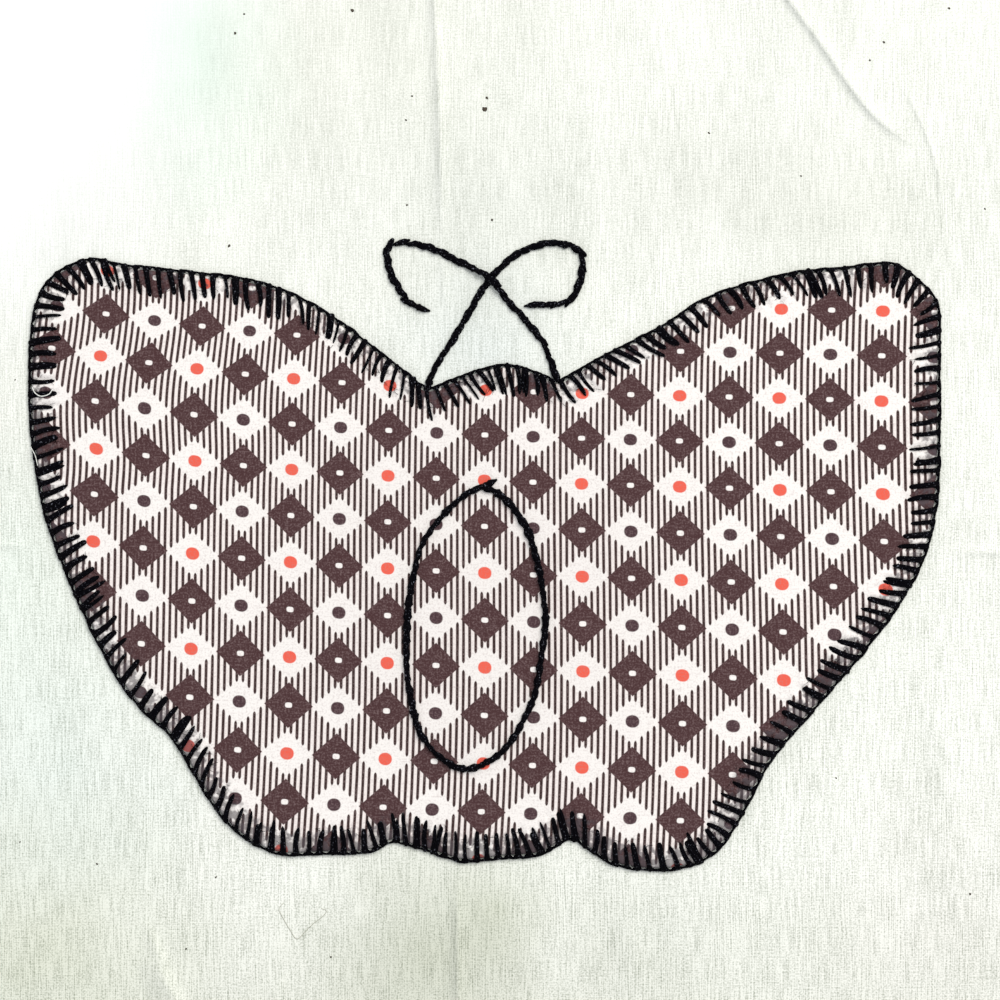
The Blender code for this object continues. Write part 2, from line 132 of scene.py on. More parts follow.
# The butterfly's edge, clockwise from the notch at the left antenna, one span from each notch to the next: x, y,
# the way that the stitches point there in degrees, and their spacing
HEAD = (
    (-4.6, 31.5, -82, 1.9), (0.7, 33.6, -56, 1.9), (5.9, 35.6, -56, 1.9), (11.4, 36.7, -78, 1.9),
    (17.0, 35.3, -84, 1.9), (21.7, 33.0, -62, 2.0),
)
RIGHT_WINGS = (
    (21.7, 33.0, -62, 2.0), (30.5, 38.3, -32, 2.2), (40.3, 43.1, -41, 2.6), (46.5, 47.0, -46, 2.7),
    (49.8, 49.2, -47, 2.7), (56.1, 51.9, -60, 2.7), (66.0, 54.4, -57, 2.7), (70.9, 55.3, -66, 2.7),
    (76.2, 55.8, -71, 2.7), (82.3, 56.5, -80, 2.7), (88.3, 57.1, -97, 2.7), (91.8, 55.3, -113, 2.7),
    (94.1, 53.2, -122, 2.7), (96.4, 51.1, -137, 2.6), (97.7, 48.4, -152, 2.6), (97.9, 45.6, -166, 2.6),
    (97.8, 34.9, -172, 2.6), (97.7, 18.0, -173, 2.6), (96.5, 4.8, -178, 2.6), (92.6, -6.0, 172, 2.7),
    (84.4, -18.2, 158, 2.8), (71.2, -33.8, 157, 2.8), (64.1, -42.2, 163, 2.7), (57.3, -54.9, 154, 2.7),
    (51.8, -61.5, 124, 2.6), (44.5, -63.9, 105, 2.5), (35.0, -63.5, 97, 2.4), (28.7, -60.5, 89, 2.2),
    (24.5, -57.1, 104, 2.0),
)
TAIL = (
    (24.5, -57.1, 104, 2.0), (18.3, -60.8, 112, 2.1), (10.6, -61.5, 96, 2.1), (3.0, -62.3, 91, 2.1),
    (-3.3, -60.5, 82, 2.1), (-11.5, -58.0, 99, 2.1),
)
LEFT_WINGS = (
    (-11.5, -58.0, 99, 2.1), (-16.4, -60.4, 103, 2.2), (-25.0, -60.7, 90, 2.3), (-34.9, -60.6, 86, 2.5),
    (-43.0, -56.0, 71, 2.7), (-47.6, -50.3, 67, 2.8), (-50.7, -45.1, 62, 2.8), (-55.8, -37.0, 56, 2.8),
    (-62.3, -31.0, 57, 2.8), (-66.8, -24.6, 50, 2.8), (-70.9, -17.0, 42, 2.8), (-76.4, -4.8, 31, 2.7),
    (-80.6, 7.0, 24, 2.6), (-83.0, 20.0, 15, 2.6), (-83.8, 32.0, 4, 2.6), (-83.0, 46.4, 3, 2.6),
    (-80.0, 53.7, -34, 2.6), (-73.9, 57.4, -62, 2.5), (-70.0, 57.7, -70, 2.4), (-65.0, 56.6, -76, 2.3),
    (-50.0, 55.0, -84, 2.2), (-37.5, 53.0, -88, 2.2), (-27.1, 48.6, -92, 2.2), (-17.3, 41.8, -115, 2.1),
    (-10.1, 36.1, -99, 2.0), (-4.6, 31.5, -82, 1.9),
)

# Each antenna from its root at the butterfly's edge to its free end
ANTENNA_LEFT = (
    (-4.3, 32.9), (-2.6, 36.7), (-0.3, 40.4), (1.7, 43.5), (5.7, 50.4), (8.1, 54.0), (12.4, 58.2),
    (16.2, 60.2), (20.7, 61.2), (24.6, 60.4), (26.4, 58.9), (26.6, 56.8), (26.2, 54.0), (24.7, 50.5),
    (23.2, 49.3), (19.4, 48.8), (16.0, 48.9),
)
ANTENNA_RIGHT = (
    (21.2, 34.6), (20.0, 38.3), (18.3, 41.8), (15.3, 45.6), (12.2, 49.0), (8.1, 54.0), (4.1, 56.3),
    (0.1, 58.3), (-3.9, 60.2), (-8.6, 61.2), (-11.0, 61.0), (-12.5, 59.9), (-12.3, 57.8), (-11.6, 55.0),
    (-9.9, 51.8), (-7.6, 48.9), (-4.4, 47.8),
)
CROSSING = (8.1, 54.0)

# The outline of the body, from its top round to the right and back, where its two ends meet
BODY_OVAL = (
    (6.8, 12.5), (10.4, 10.6), (13.5, 7.2), (15.7, 3.5), (17.1, -0.8), (18.4, -6.8), (19.2, -13.8),
    (18.7, -19.2), (17.2, -28.5), (15.4, -32.8), (13.1, -37.2), (10.1, -40.8), (6.7, -42.9), (3.0, -43.9),
    (-0.6, -42.4), (-3.9, -39.5), (-6.4, -35.2), (-8.2, -26.8), (-8.6, -20.8), (-8.1, -10.8), (-6.6, -2.8),
    (-5.3, 1.2), (-2.9, 4.8), (0.2, 8.3), (3.7, 11.2), (6.8, 12.5),
)
OVAL_LAST = (9.0, 13.5)


def smooth_curve(points: Sequence[Row], steps: int = 16) -> np.ndarray:
    """Points along a Catmull-Rom curve through the given ones.

    Args:
        points: the curve's points, with any number of columns.
        steps: how many points each span gets.

    Returns:
        The curve's points, one a row.
    """
    rows = np.array(points, float)
    rows = np.vstack([2 * rows[0] - rows[1], rows, 2 * rows[-1] - rows[-2]])
    found = []
    for before, start, end, after in zip(rows, rows[1:], rows[2:], rows[3:]):
        for t in np.arange(steps) / steps:
            found.append(
                0.5
                * (
                    2 * start
                    + (end - before) * t
                    + (2 * before - 5 * start + 4 * end - after) * t**2
                    + (3 * start - before - 3 * end + after) * t**3
                )
            )
    found.append(rows[-2])
    return np.array(found)


def lengths_along(points: np.ndarray) -> np.ndarray:
    """The distance from the first point to each point, seen from above."""
    steps = np.hypot(*np.diff(points[:, :2], axis=0).T)
    return np.concatenate([[0.0], np.cumsum(steps)])


def spaced(points: np.ndarray, pitch: float) -> np.ndarray:
    """The curve through these points, resampled at about this pitch."""
    along = lengths_along(points)
    count = max(2, round(along[-1] / pitch) + 1)
    places = np.linspace(0.0, along[-1], count)
    return np.stack([np.interp(places, along, column) for column in points.T], axis=1)


def nearest_on_line(points: np.ndarray, line: np.ndarray) -> tuple[np.ndarray, np.ndarray, np.ndarray]:
    """How far each point is from a line, how far along the line its nearest place is, and on which hand it lies.

    Args:
        points: the points, as rows of x and y.
        line: the line's own points, as rows of x and y.

    Returns:
        The distances, the places along the line, and whether each point is on the line's left.
    """
    best = np.full(len(points), np.inf)
    place = np.zeros(len(points))
    on_left = np.zeros(len(points), bool)
    for start, end, before in zip(line, line[1:], lengths_along(line)):
        run = end - start
        off = points - start
        t = np.clip(off @ run / (run @ run), 0.0, 1.0)
        away = np.hypot(*(off - t[:, None] * run).T)
        closer = away < best
        best[closer] = away[closer]
        place[closer] = (before + t * math.hypot(*run))[closer]
        on_left[closer] = (run[0] * off[:, 1] - run[1] * off[:, 0] > 0.0)[closer]
    return best, place, on_left


def smooth_step(values: np.ndarray, start: float, end: float) -> np.ndarray:
    """From 0 at start to 1 at end, with no corner."""
    t = np.clip((values - start) / (end - start), 0.0, 1.0)
    return t * t * (3.0 - 2.0 * t)


def fold_lift(points: np.ndarray) -> np.ndarray:
    """How high the folds lift the cloth at each point, given as rows of x and y."""
    lift = np.zeros(len(points))
    for fold in FOLDS:
        crest = spaced(smooth_curve(fold.crest), 1.5)
        distance, place, on_left = nearest_on_line(points, crest)
        length = lengths_along(crest)[-1]
        share = np.ones(len(points))
        if fold.fade_in:
            share *= np.clip(place / fold.fade_in, 0.0, 1.0)
        if fold.fade_out:
            share *= np.clip((length - place) / fold.fade_out, 0.0, 1.0)
        reach = np.where(on_left, fold.left, fold.right)
        if fold.slope is Slope.FLAT:
            reach = reach * np.maximum(share, 0.02)
        out = np.clip(distance / reach, 0.0, 1.0)
        section = {
            Slope.HOLLOW: (1.0 - out) ** 2,
            Slope.FLAT: 1.0 - out,
            Slope.ROUND: 0.5 * (1.0 + np.cos(math.pi * out)),
        }[fold.slope]
        lift = np.maximum(lift, fold.height * section * share)
    return lift


def staggered_grid(low: np.ndarray, high: np.ndarray, pitch: float) -> np.ndarray:
    """Points in staggered rows between two corners."""
    x, y = np.meshgrid(np.arange(low[0], high[0], pitch), np.arange(low[1], high[1], pitch * 0.87))
    x[1::2] += pitch / 2
    return np.column_stack([x.ravel(), y.ravel()])


def fill(outline: np.ndarray, inside: np.ndarray) -> tuple[np.ndarray, list[Sequence[int]]]:
    """A closed outline filled with triangles.

    Args:
        outline: the points that bound it, anticlockwise.
        inside: the points within it.

    Returns:
        All the points, and the triangles.
    """
    spots = [tuple(point) for point in np.vstack([outline, inside])]
    plan, _, faces, *_ = delaunay_2d_cdt(spots, [], [list(range(len(outline)))], 1, 1e-5)
    return np.array(plan), faces


def ripples(points: np.ndarray, length: float, seed: int) -> np.ndarray:
    """Gentle unevenness from -1 to 1, as a sum of waves of about this length.

    Args:
        points: the points, as rows of x and y.
        length: the waves' usual length.
        seed: picks the waves.

    Returns:
        The height at each point.
    """
    rng = np.random.default_rng(seed)
    total = np.zeros(len(points))
    waves = 7
    for _ in range(waves):
        turn = rng.uniform(0.0, math.tau)
        across = points[:, 0] * math.cos(turn) + points[:, 1] * math.sin(turn)
        total += np.sin(math.tau * across / (length * rng.uniform(0.7, 1.6)) + rng.uniform(0.0, math.tau))
    return total / math.sqrt(waves) / 1.6


class Edge:
    """The butterfly's closed edge, read by its distance along it."""

    SAMPLE = 0.25
    SOFTENING = 1.5

    def __init__(self, spans: Sequence[tuple[Row, ...]]) -> None:
        """Join the spans and soften their corners a little.

        Args:
            spans: rows of x, y, heading and spacing, clockwise.
        """
        rows = np.vstack([smooth_curve(span)[:-1] for span in map(self.turned, spans)])
        rows = np.vstack([rows, rows[:1]])
        rows[:, 2] = np.unwrap(rows[:, 2], period=360.0)
        rows = spaced(rows, self.SAMPLE)[:-1]
        reach = round(self.SOFTENING / self.SAMPLE)
        rolled = [np.roll(rows[:, :2], shift, axis=0) for shift in range(-reach, reach + 1)]
        rows[:, :2] = np.mean(rolled, axis=0)
        closed = np.vstack([rows, rows[:1]])
        closed[-1, 2] = np.unwrap(closed[-2:, 2], period=360.0)[-1]
        ahead = np.roll(rows[:, :2], -1, axis=0) - np.roll(rows[:, :2], 1, axis=0)
        ahead /= np.hypot(*ahead.T)[:, None]
        outward = np.stack([-ahead[:, 1], ahead[:, 0]], axis=1)
        self.rows = np.hstack([closed, np.vstack([outward, outward[:1]])])
        self.along = lengths_along(closed)
        self.length = float(self.along[-1])
        self.tree = KDTree(len(rows))
        for i, row in enumerate(rows):
            self.tree.insert((row[0], row[1], 0.0), i)
        self.tree.balance()

    @staticmethod
    def turned(span: tuple[Row, ...]) -> np.ndarray:
        """The span's rows, with headings that don't jump past half a turn."""
        rows = np.array(span, float)
        rows[:, 2] = np.unwrap(rows[:, 2], period=360.0)
        return rows

    def at(self, places: Sequence[float] | np.ndarray) -> np.ndarray:
        """The edge at these distances along it: rows of x, y, heading, spacing, and the way out."""
        places = np.mod(places, self.length)
        return np.stack([np.interp(places, self.along, column) for column in self.rows.T], axis=-1)

    def inset_loop(self, places: np.ndarray, inset: float | np.ndarray) -> np.ndarray:
        """The edge moved in by this much, as a point for each place."""
        rows = self.at(places)
        return rows[:, :2] - rows[:, 4:] * np.reshape(inset, (-1, 1))

    def depth(self, points: np.ndarray) -> np.ndarray:
        """How far inside the edge each point is, below 0 outside it."""
        found = np.empty(len(points))
        for i, (x, y) in enumerate(points):
            _, index, _ = self.tree.find((x, y, 0.0))
            row = self.rows[index]
            away = np.array([x - row[0], y - row[1]])
            found[i] = math.copysign(math.hypot(*away), -(away @ row[4:]))
        return found


# ---------------------------------------------------------------- making meshes and nodes


def linear(code: str) -> tuple[float, float, float, float]:
    """The linear colour of an sRGB hex code such as #F1F2EA."""
    parts = [int(code[i : i + 2], 16) / 255 for i in (1, 3, 5)]
    found = [c / 12.92 if c <= 0.04045 else ((c + 0.055) / 1.055) ** 2.4 for c in parts]
    return (found[0], found[1], found[2], 1.0)


def add_node(
    tree: bpy.types.NodeTree,
    kind: str,
    inputs: dict[str | int, Any] | Sequence[Any] = (),
    label: str = "",
    **settings: Any,
) -> bpy.types.Node:
    """Add a node, set its properties, then set or link its inputs.

    Args:
        tree: the node tree.
        kind: Blender's name for the node.
        inputs: a value or a socket for each input, by its name or its number.
        label: what the node works out.
        settings: the node's own properties.

    Returns:
        The node.
    """
    node = tree.nodes.new(kind)
    node.label = label
    for name, value in settings.items():
        setattr(node, name, value)
    for name, value in inputs.items() if isinstance(inputs, dict) else enumerate(inputs):
        if isinstance(value, bpy.types.NodeSocket):
            tree.links.new(value, node.inputs[name])
        elif value is not None:
            node.inputs[name].default_value = value
    return node


def work_out(tree: bpy.types.NodeTree, known: dict[str, Any], steps: Steps) -> dict[str, Any]:
    """Add a Math node for each step of a sum.

    Args:
        tree: the material's node tree.
        known: sockets by name. Each step adds its own.
        steps: rows of a name, an operation and its values, each a number or an earlier name. A name that ends
            in mask is kept from 0 to 1.

    Returns:
        The sockets by name.
    """
    for name, operation, *values in steps:
        inputs = [known[value] if isinstance(value, str) else value for value in values]
        node = add_node(tree, "ShaderNodeMath", inputs, name, operation=operation)
        node.use_clamp = name.endswith("mask")
        known[name] = node.outputs[0]
    return known


def new_material(name: str) -> tuple[bpy.types.Material, bpy.types.NodeTree, bpy.types.Node]:
    """A material with its node tree and its Principled shader."""
    material = bpy.data.materials.new(name)
    material.use_nodes = True
    return material, material.node_tree, material.node_tree.nodes["Principled BSDF"]


def add_object(name: str, mesh: bpy.types.Mesh) -> bpy.types.Object:
    """A new object that shows this mesh, at the origin."""
    obj = bpy.data.objects.new(name, mesh)
    bpy.context.scene.collection.objects.link(obj)
    return obj


def mesh_from(
    name: str,
    points: np.ndarray,
    faces: Sequence[Sequence[int]],
    merge: float = 0.0,
) -> bpy.types.Mesh:
    """A smooth-shaded mesh with its faces outwards.

    Args:
        name: the mesh's name.
        points: the points in millimetres.
        faces: the faces, as numbers of points.
        merge: points that are nearer than this, in millimetres, become one.

    Returns:
        The mesh, in metres.
    """
    mesh = bpy.data.meshes.new(name)
    mesh.from_pydata((np.asarray(points) * MM).tolist(), [], [list(face) for face in faces])
    bm = bmesh.new()
    bm.from_mesh(mesh)
    if merge:
        bmesh.ops.remove_doubles(bm, verts=bm.verts, dist=merge * MM)
    bmesh.ops.recalc_face_normals(bm, faces=bm.faces)
    bm.to_mesh(mesh)
    bm.free()
    mesh.shade_smooth()
    return mesh


def thread_mesh(
    name: str,
    line: np.ndarray,
    widths: np.ndarray,
    heights: np.ndarray,
    sides: int = 8,
    turns: float = 0.0,
) -> bpy.types.Mesh:
    """A thread along a line, with a closed tip at each end and its own UV map: round it, and along it in mm.

    Args:
        name: the mesh's name.
        line: the thread's middle line, as rows of x, y and z in millimetres.
        widths: how wide it is at each point.
        heights: how high it is at each point.
        sides: how many faces go round it.
        turns: how far its own twist turns the section from end to end.

    Returns:
        The mesh, in metres.
    """
    ahead = np.gradient(line, axis=0)
    ahead /= np.linalg.norm(ahead, axis=1)[:, None]
    across = np.cross(UP, ahead)
    across /= np.linalg.norm(across, axis=1)[:, None]
    upward = np.cross(ahead, across)
    around = np.arange(sides) * math.tau / sides
    points, along = [], []
    lengths = np.concatenate([[0.0], np.cumsum(np.linalg.norm(np.diff(line, axis=0), axis=1))])
    for i, middle in enumerate(line):
        turn = math.tau * turns * i / (len(line) - 1)
        for angle in around + turn:
            side = across[i] * widths[i] / 2 * math.cos(angle)
            points.append(middle + side + upward[i] * heights[i] / 2 * math.sin(angle))
            along.append(lengths[i])
    tips = (line[0] - ahead[0] * widths[0] * 0.25, line[-1] + ahead[-1] * widths[-1] * 0.25)
    points += [*tips]
    along += [-widths[0] * 0.25, lengths[-1] + widths[-1] * 0.25]
    first_tip, last_tip = len(points) - 2, len(points) - 1
    last = (len(line) - 1) * sides
    faces, spots = [], []
    for ring in range(len(line) - 1):
        for i in range(sides):
            after = (i + 1) % sides
            low, high = ring * sides, (ring + 1) * sides
            faces.append((low + i, low + after, high + after, high + i))
            spots += [i / sides, (i + 1) / sides, (i + 1) / sides, i / sides]
    for i in range(sides):
        after = (i + 1) % sides
        faces.append((first_tip, after, i))
        spots += [(i + 0.5) / sides, (i + 1) / sides, i / sides]
        faces.append((last_tip, last + i, last + after))
        spots += [(i + 0.5) / sides, i / sides, (i + 1) / sides]
    mesh = bpy.data.meshes.new(name)
    mesh.from_pydata((np.array(points) * MM).tolist(), [], faces)
    layer = mesh.uv_layers.new(name="ThreadUV")
    for loop, spot in zip(mesh.loops, spots):
        layer.data[loop.index].uv = (spot, along[loop.vertex_index])
    mesh.shade_smooth()
    return mesh


class StitchTree:
    """Geometry Nodes that set one of several templates on each point, turned, stretched and a little uneven."""

    def __init__(self, name: str, follows_path: bool) -> None:
        """Build the tree.

        Args:
            name: the tree's name.
            follows_path: whether it gets a curve and spaces the templates along it. If not, it gets points
                with attributes named turn, size and kind.
        """
        self.tree = bpy.data.node_groups.new(name, "GeometryNodeTree")
        self.tree.is_modifier = True
        self.ids: dict[str, str] = {}
        self.socket("Geometry", "NodeSocketGeometry")
        self.socket("Templates", "NodeSocketCollection")
        self.socket("Finish", "NodeSocketMaterial")
        self.socket("Unevenness", "NodeSocketVector")
        self.socket("Seed", "NodeSocketInt")
        if follows_path:
            self.socket("Spacing", "NodeSocketFloat")
            self.socket("Slant", "NodeSocketFloat")
        self.tree.interface.new_socket("Geometry", in_out="OUTPUT", socket_type="NodeSocketGeometry")
        self.given = add_node(self.tree, "NodeGroupInput").outputs
        points, turn, size, kind = self.along_path() if follows_path else self.on_points()
        self.finish(points, turn, size, kind)

    def socket(self, name: str, kind: str) -> None:
        """Add a named input and keep its identifier."""
        made = self.tree.interface.new_socket(name, in_out="INPUT", socket_type=kind)
        self.ids[name] = made.identifier

    def on_points(self) -> tuple[Any, ...]:
        """The given points, and their turn, size and kind."""
        read = {}
        for name, kind in (("turn", "FLOAT_VECTOR"), ("size", "FLOAT_VECTOR"), ("kind", "INT")):
            node = add_node(self.tree, "GeometryNodeInputNamedAttribute", (name,), data_type=kind)
            read[name] = node.outputs["Attribute"]
        rotation = add_node(self.tree, "FunctionNodeEulerToRotation", (read["turn"],))
        return self.given["Geometry"], rotation.outputs[0], read["size"], read["kind"]

    def along_path(self) -> tuple[Any, ...]:
        """Points spaced along the given curve, turned along it and slanted, and as thick as its radius says."""
        count = add_node(
            self.tree,
            "GeometryNodeResampleCurve",
            {"Curve": self.given["Geometry"], "Length": self.given["Spacing"]},
            mode="LENGTH",
        )
        tangent = add_node(self.tree, "GeometryNodeInputTangent")
        along = add_node(
            self.tree,
            "FunctionNodeAlignRotationToVector",
            {"Vector": tangent.outputs[0]},
            axis="X",
            pivot_axis="AUTO",
        )
        slant = add_node(self.tree, "ShaderNodeCombineXYZ", {"Z": self.given["Slant"]})
        turned = add_node(
            self.tree, "FunctionNodeRotateRotation", {"Rotation": along.outputs[0]}, rotation_space="LOCAL"
        )
        euler = add_node(self.tree, "FunctionNodeEulerToRotation", (slant.outputs[0],))
        self.tree.links.new(euler.outputs[0], turned.inputs["Rotate By"])
        radius = add_node(self.tree, "GeometryNodeInputRadius")
        size = add_node(self.tree, "ShaderNodeCombineXYZ", (1.0, radius.outputs[0], radius.outputs[0]))
        kind = add_node(
            self.tree, "FunctionNodeRandomValue", {"Seed": self.given["Seed"]}, data_type="INT"
        )
        kind.inputs[4].default_value, kind.inputs[5].default_value = 0, 3
        return count.outputs[0], turned.outputs[0], size.outputs[0], kind.outputs[2]

    def finish(self, points: Any, turn: Any, size: Any, kind: Any) -> None:
        """Instance the templates, make them real, and give them their finish.

        Args:
            points: the geometry that holds the points.
            turn: their rotation.
            size: their scale.
            kind: which template each one takes.
        """
        tree, given = self.tree, self.given
        templates = add_node(tree, "GeometryNodeCollectionInfo", {"Collection": given["Templates"]})
        templates.inputs["Separate Children"].default_value = True
        templates.inputs["Reset Children"].default_value = True
        spread = add_node(tree, "FunctionNodeRandomValue", {"Seed": given["Seed"]}, data_type="FLOAT_VECTOR")
        least = add_node(tree, "ShaderNodeVectorMath", ((1.0, 1.0, 1.0), given["Unevenness"]), operation="SUBTRACT")
        most = add_node(tree, "ShaderNodeVectorMath", ((1.0, 1.0, 1.0), given["Unevenness"]), operation="ADD")
        tree.links.new(least.outputs[0], spread.inputs[0])
        tree.links.new(most.outputs[0], spread.inputs[1])
        scale = add_node(tree, "ShaderNodeVectorMath", (size, spread.outputs[0]), operation="MULTIPLY")
        placed = add_node(
            tree,
            "GeometryNodeInstanceOnPoints",
            {
                "Points": points,
                "Instance": templates.outputs[0],
                "Pick Instance": True,
                "Instance Index": kind,
                "Rotation": turn,
                "Scale": scale.outputs[0],
            },
        )
        real = add_node(tree, "GeometryNodeRealizeInstances", {"Geometry": placed.outputs[0]})
        dressed = add_node(
            tree, "GeometryNodeSetMaterial", {"Geometry": real.outputs[0], "Material": given["Finish"]}
        )
        add_node(tree, "NodeGroupOutput", (dressed.outputs[0],))

    def make(self, name: str, source: bpy.types.Object, **values: Any) -> bpy.types.Object:
        """Run the tree on a source object and keep the result as a plain mesh.

        Args:
            name: the finished piece's name.
            source: the points or the curve. It is removed.
            values: a value for each named input.

        Returns:
            The finished piece.
        """
        modifier = source.modifiers.new("stitches", "NODES")
        modifier.node_group = self.tree
        for key, value in values.items():
            modifier[self.ids[key.replace("_", " ").capitalize()]] = value
        graph = bpy.context.evaluated_depsgraph_get()
        mesh = bpy.data.meshes.new_from_object(
            source.evaluated_get(graph), preserve_all_data_layers=True, depsgraph=graph
        )
        mesh.name = name
        source.modifiers.remove(modifier)
        bpy.data.objects.remove(source, do_unlink=True)
        mesh.shade_smooth()
        return add_object(name, mesh)


def template_set(name: str, meshes: Sequence[bpy.types.Mesh]) -> bpy.types.Collection:
    """A collection, outside the scene, that holds the templates in their order."""
    collection = bpy.data.collections.new(name)
    for number, mesh in enumerate(meshes):
        collection.objects.link(bpy.data.objects.new(f"{name}_{number:02d}", mesh))
    return collection


def clear_templates(collection: bpy.types.Collection) -> None:
    """Remove the templates once their copies are real."""
    for obj in list(collection.objects):
        bpy.data.objects.remove(obj, do_unlink=True)
    bpy.data.collections.remove(collection)


def point_cloud(
    name: str, points: np.ndarray, turns: np.ndarray, sizes: np.ndarray, kinds: np.ndarray
) -> bpy.types.Object:
    """Points with the attributes that a stitch tree reads.

    Args:
        name: the object's name.
        points: rows of x, y and z in millimetres.
        turns: rows of turns about X, Y and Z.
        sizes: rows of scales.
        kinds: the template that each point takes.

    Returns:
        The object that holds them.
    """
    mesh = bpy.data.meshes.new(name)
    mesh.from_pydata((points * MM).tolist(), [], [])
    for label, kind, key, values in (
        ("turn", "FLOAT_VECTOR", "vector", turns),
        ("size", "FLOAT_VECTOR", "vector", sizes),
        ("kind", "INT", "value", kinds),
    ):
        attribute = mesh.attributes.new(label, kind, "POINT")
        attribute.data.foreach_set(key, np.asarray(values).ravel())
    return add_object(name, mesh)


# ---------------------------------------------------------------- finishes


class StainAndShade(NamedTuple):
    """A faint stain of the muslin, or a patch of painted shade that darkens it: its middle, its reach each way, its
    colour and how strong it is.
    """

    x: float
    y: float
    reach_x: float
    reach_y: float
    colour: str
    strength: float


# Placed where the photograph's muslin is darker or tinted: some are real stains and tints, and the broad darkening
# towards the bottom is painted shade. The colours follow its tones there, as measured against those of a render that
# had none of them
STAINS_AND_SHADE = (
    StainAndShade(6.0, 68.0, 34.0, 30.0, "#F0F1F0", 0.7),
    StainAndShade(6.0, 40.0, 26.0, 22.0, "#EFF3F7", 0.6),
    StainAndShade(54.0, 74.0, 34.0, 26.0, "#F4F4F3", 0.65),
    StainAndShade(80.0, 66.0, 26.0, 22.0, "#F4F4F2", 0.65),
    StainAndShade(-14.0, 102.0, 52.0, 34.0, "#F7F7F5", 0.7),
    StainAndShade(-50.0, 98.0, 22.0, 38.0, "#F1FCF6", 0.7),
    StainAndShade(-90.0, -6.0, 34.0, 34.0, "#F6FCFA", 0.7),
    StainAndShade(-80.0, -42.0, 40.0, 34.0, "#F3F9F9", 0.7),
    StainAndShade(-84.0, -82.0, 44.0, 38.0, "#ECEEE5", 0.75),
    StainAndShade(-4.0, -80.0, 27.0, 30.0, "#E0E2DA", 0.75),
    StainAndShade(10.0, -71.0, 12.0, 15.0, "#E6E8DF", 0.6),
    StainAndShade(10.0, -104.0, 150.0, 46.0, "#E7E7DF", 0.5),
    StainAndShade(38.0, -76.0, 22.0, 20.0, "#F6F7F6", 0.6),
    StainAndShade(98.0, -76.0, 34.0, 34.0, "#FBF9F9", 0.7),
)


def stretched_noise(tree: bpy.types.NodeTree, mm: Any, per_mm: Row, detail: float) -> Any:
    """Noise on millimetres, with this many bumps to the millimetre each way."""
    stretched = add_node(tree, "ShaderNodeVectorMath", (mm, per_mm), operation="MULTIPLY").outputs[0]
    return add_node(tree, "ShaderNodeTexNoise", {"Vector": stretched, "Scale": 1.0, "Detail": detail}).outputs[0]


def millimetres(tree: bpy.types.NodeTree, known: dict[str, Any]) -> Any:
    """The Object coordinates in millimetres, which also gives known its x and y."""
    place = add_node(tree, "ShaderNodeTexCoord").outputs["Object"]
    mm = add_node(tree, "ShaderNodeVectorMath", {"Vector": place, "Scale": 1000.0}, operation="SCALE").outputs[0]
    apart = add_node(tree, "ShaderNodeSeparateXYZ", (mm,))
    known["raw x"], known["raw y"] = apart.outputs[0], apart.outputs[1]
    return mm


def layered(tree: bpy.types.NodeTree, known: dict[str, Any], base: str, layers: Steps) -> Any:
    """Colours laid over each other.

    Args:
        tree: the material's node tree.
        known: sockets by name.
        base: the first colour.
        layers: rows of the name of a socket that says where the colour lies, and the colour.

    Returns:
        The socket of the mixed colour.
    """
    colour: Any = linear(base)
    for mask, code in layers:
        inputs = {0: known[mask], 6: colour, 7: linear(code)}
        colour = add_node(tree, "ShaderNodeMix", inputs, mask, data_type="RGBA").outputs[2]
    return colour


def cloth_surface(
    tree: bpy.types.NodeTree,
    shader: bpy.types.Node,
    height: Any,
    depth: float,
    roughness: float,
    sheen: float = 0.0,
    gloss: float = 0.2,
) -> None:
    """Give a matt cotton surface its relief, roughness and bloom.

    Args:
        tree: the material's node tree.
        shader: its Principled shader.
        height: the socket of the relief.
        depth: how deep the relief is, in millimetres.
        roughness: the shader's roughness.
        sheen: the weight of the bloom of its fibres.
        gloss: the shader's specular level.
    """
    bump = add_node(tree, "ShaderNodeBump", {"Strength": 1.0, "Distance": depth * MM, "Height": height})
    tree.links.new(bump.outputs[0], shader.inputs["Normal"])
    shader.inputs["Roughness"].default_value = roughness
    shader.inputs["Specular IOR Level"].default_value = gloss
    shader.inputs["Sheen Weight"].default_value = sheen
    shader.inputs["Sheen Roughness"].default_value = 0.6


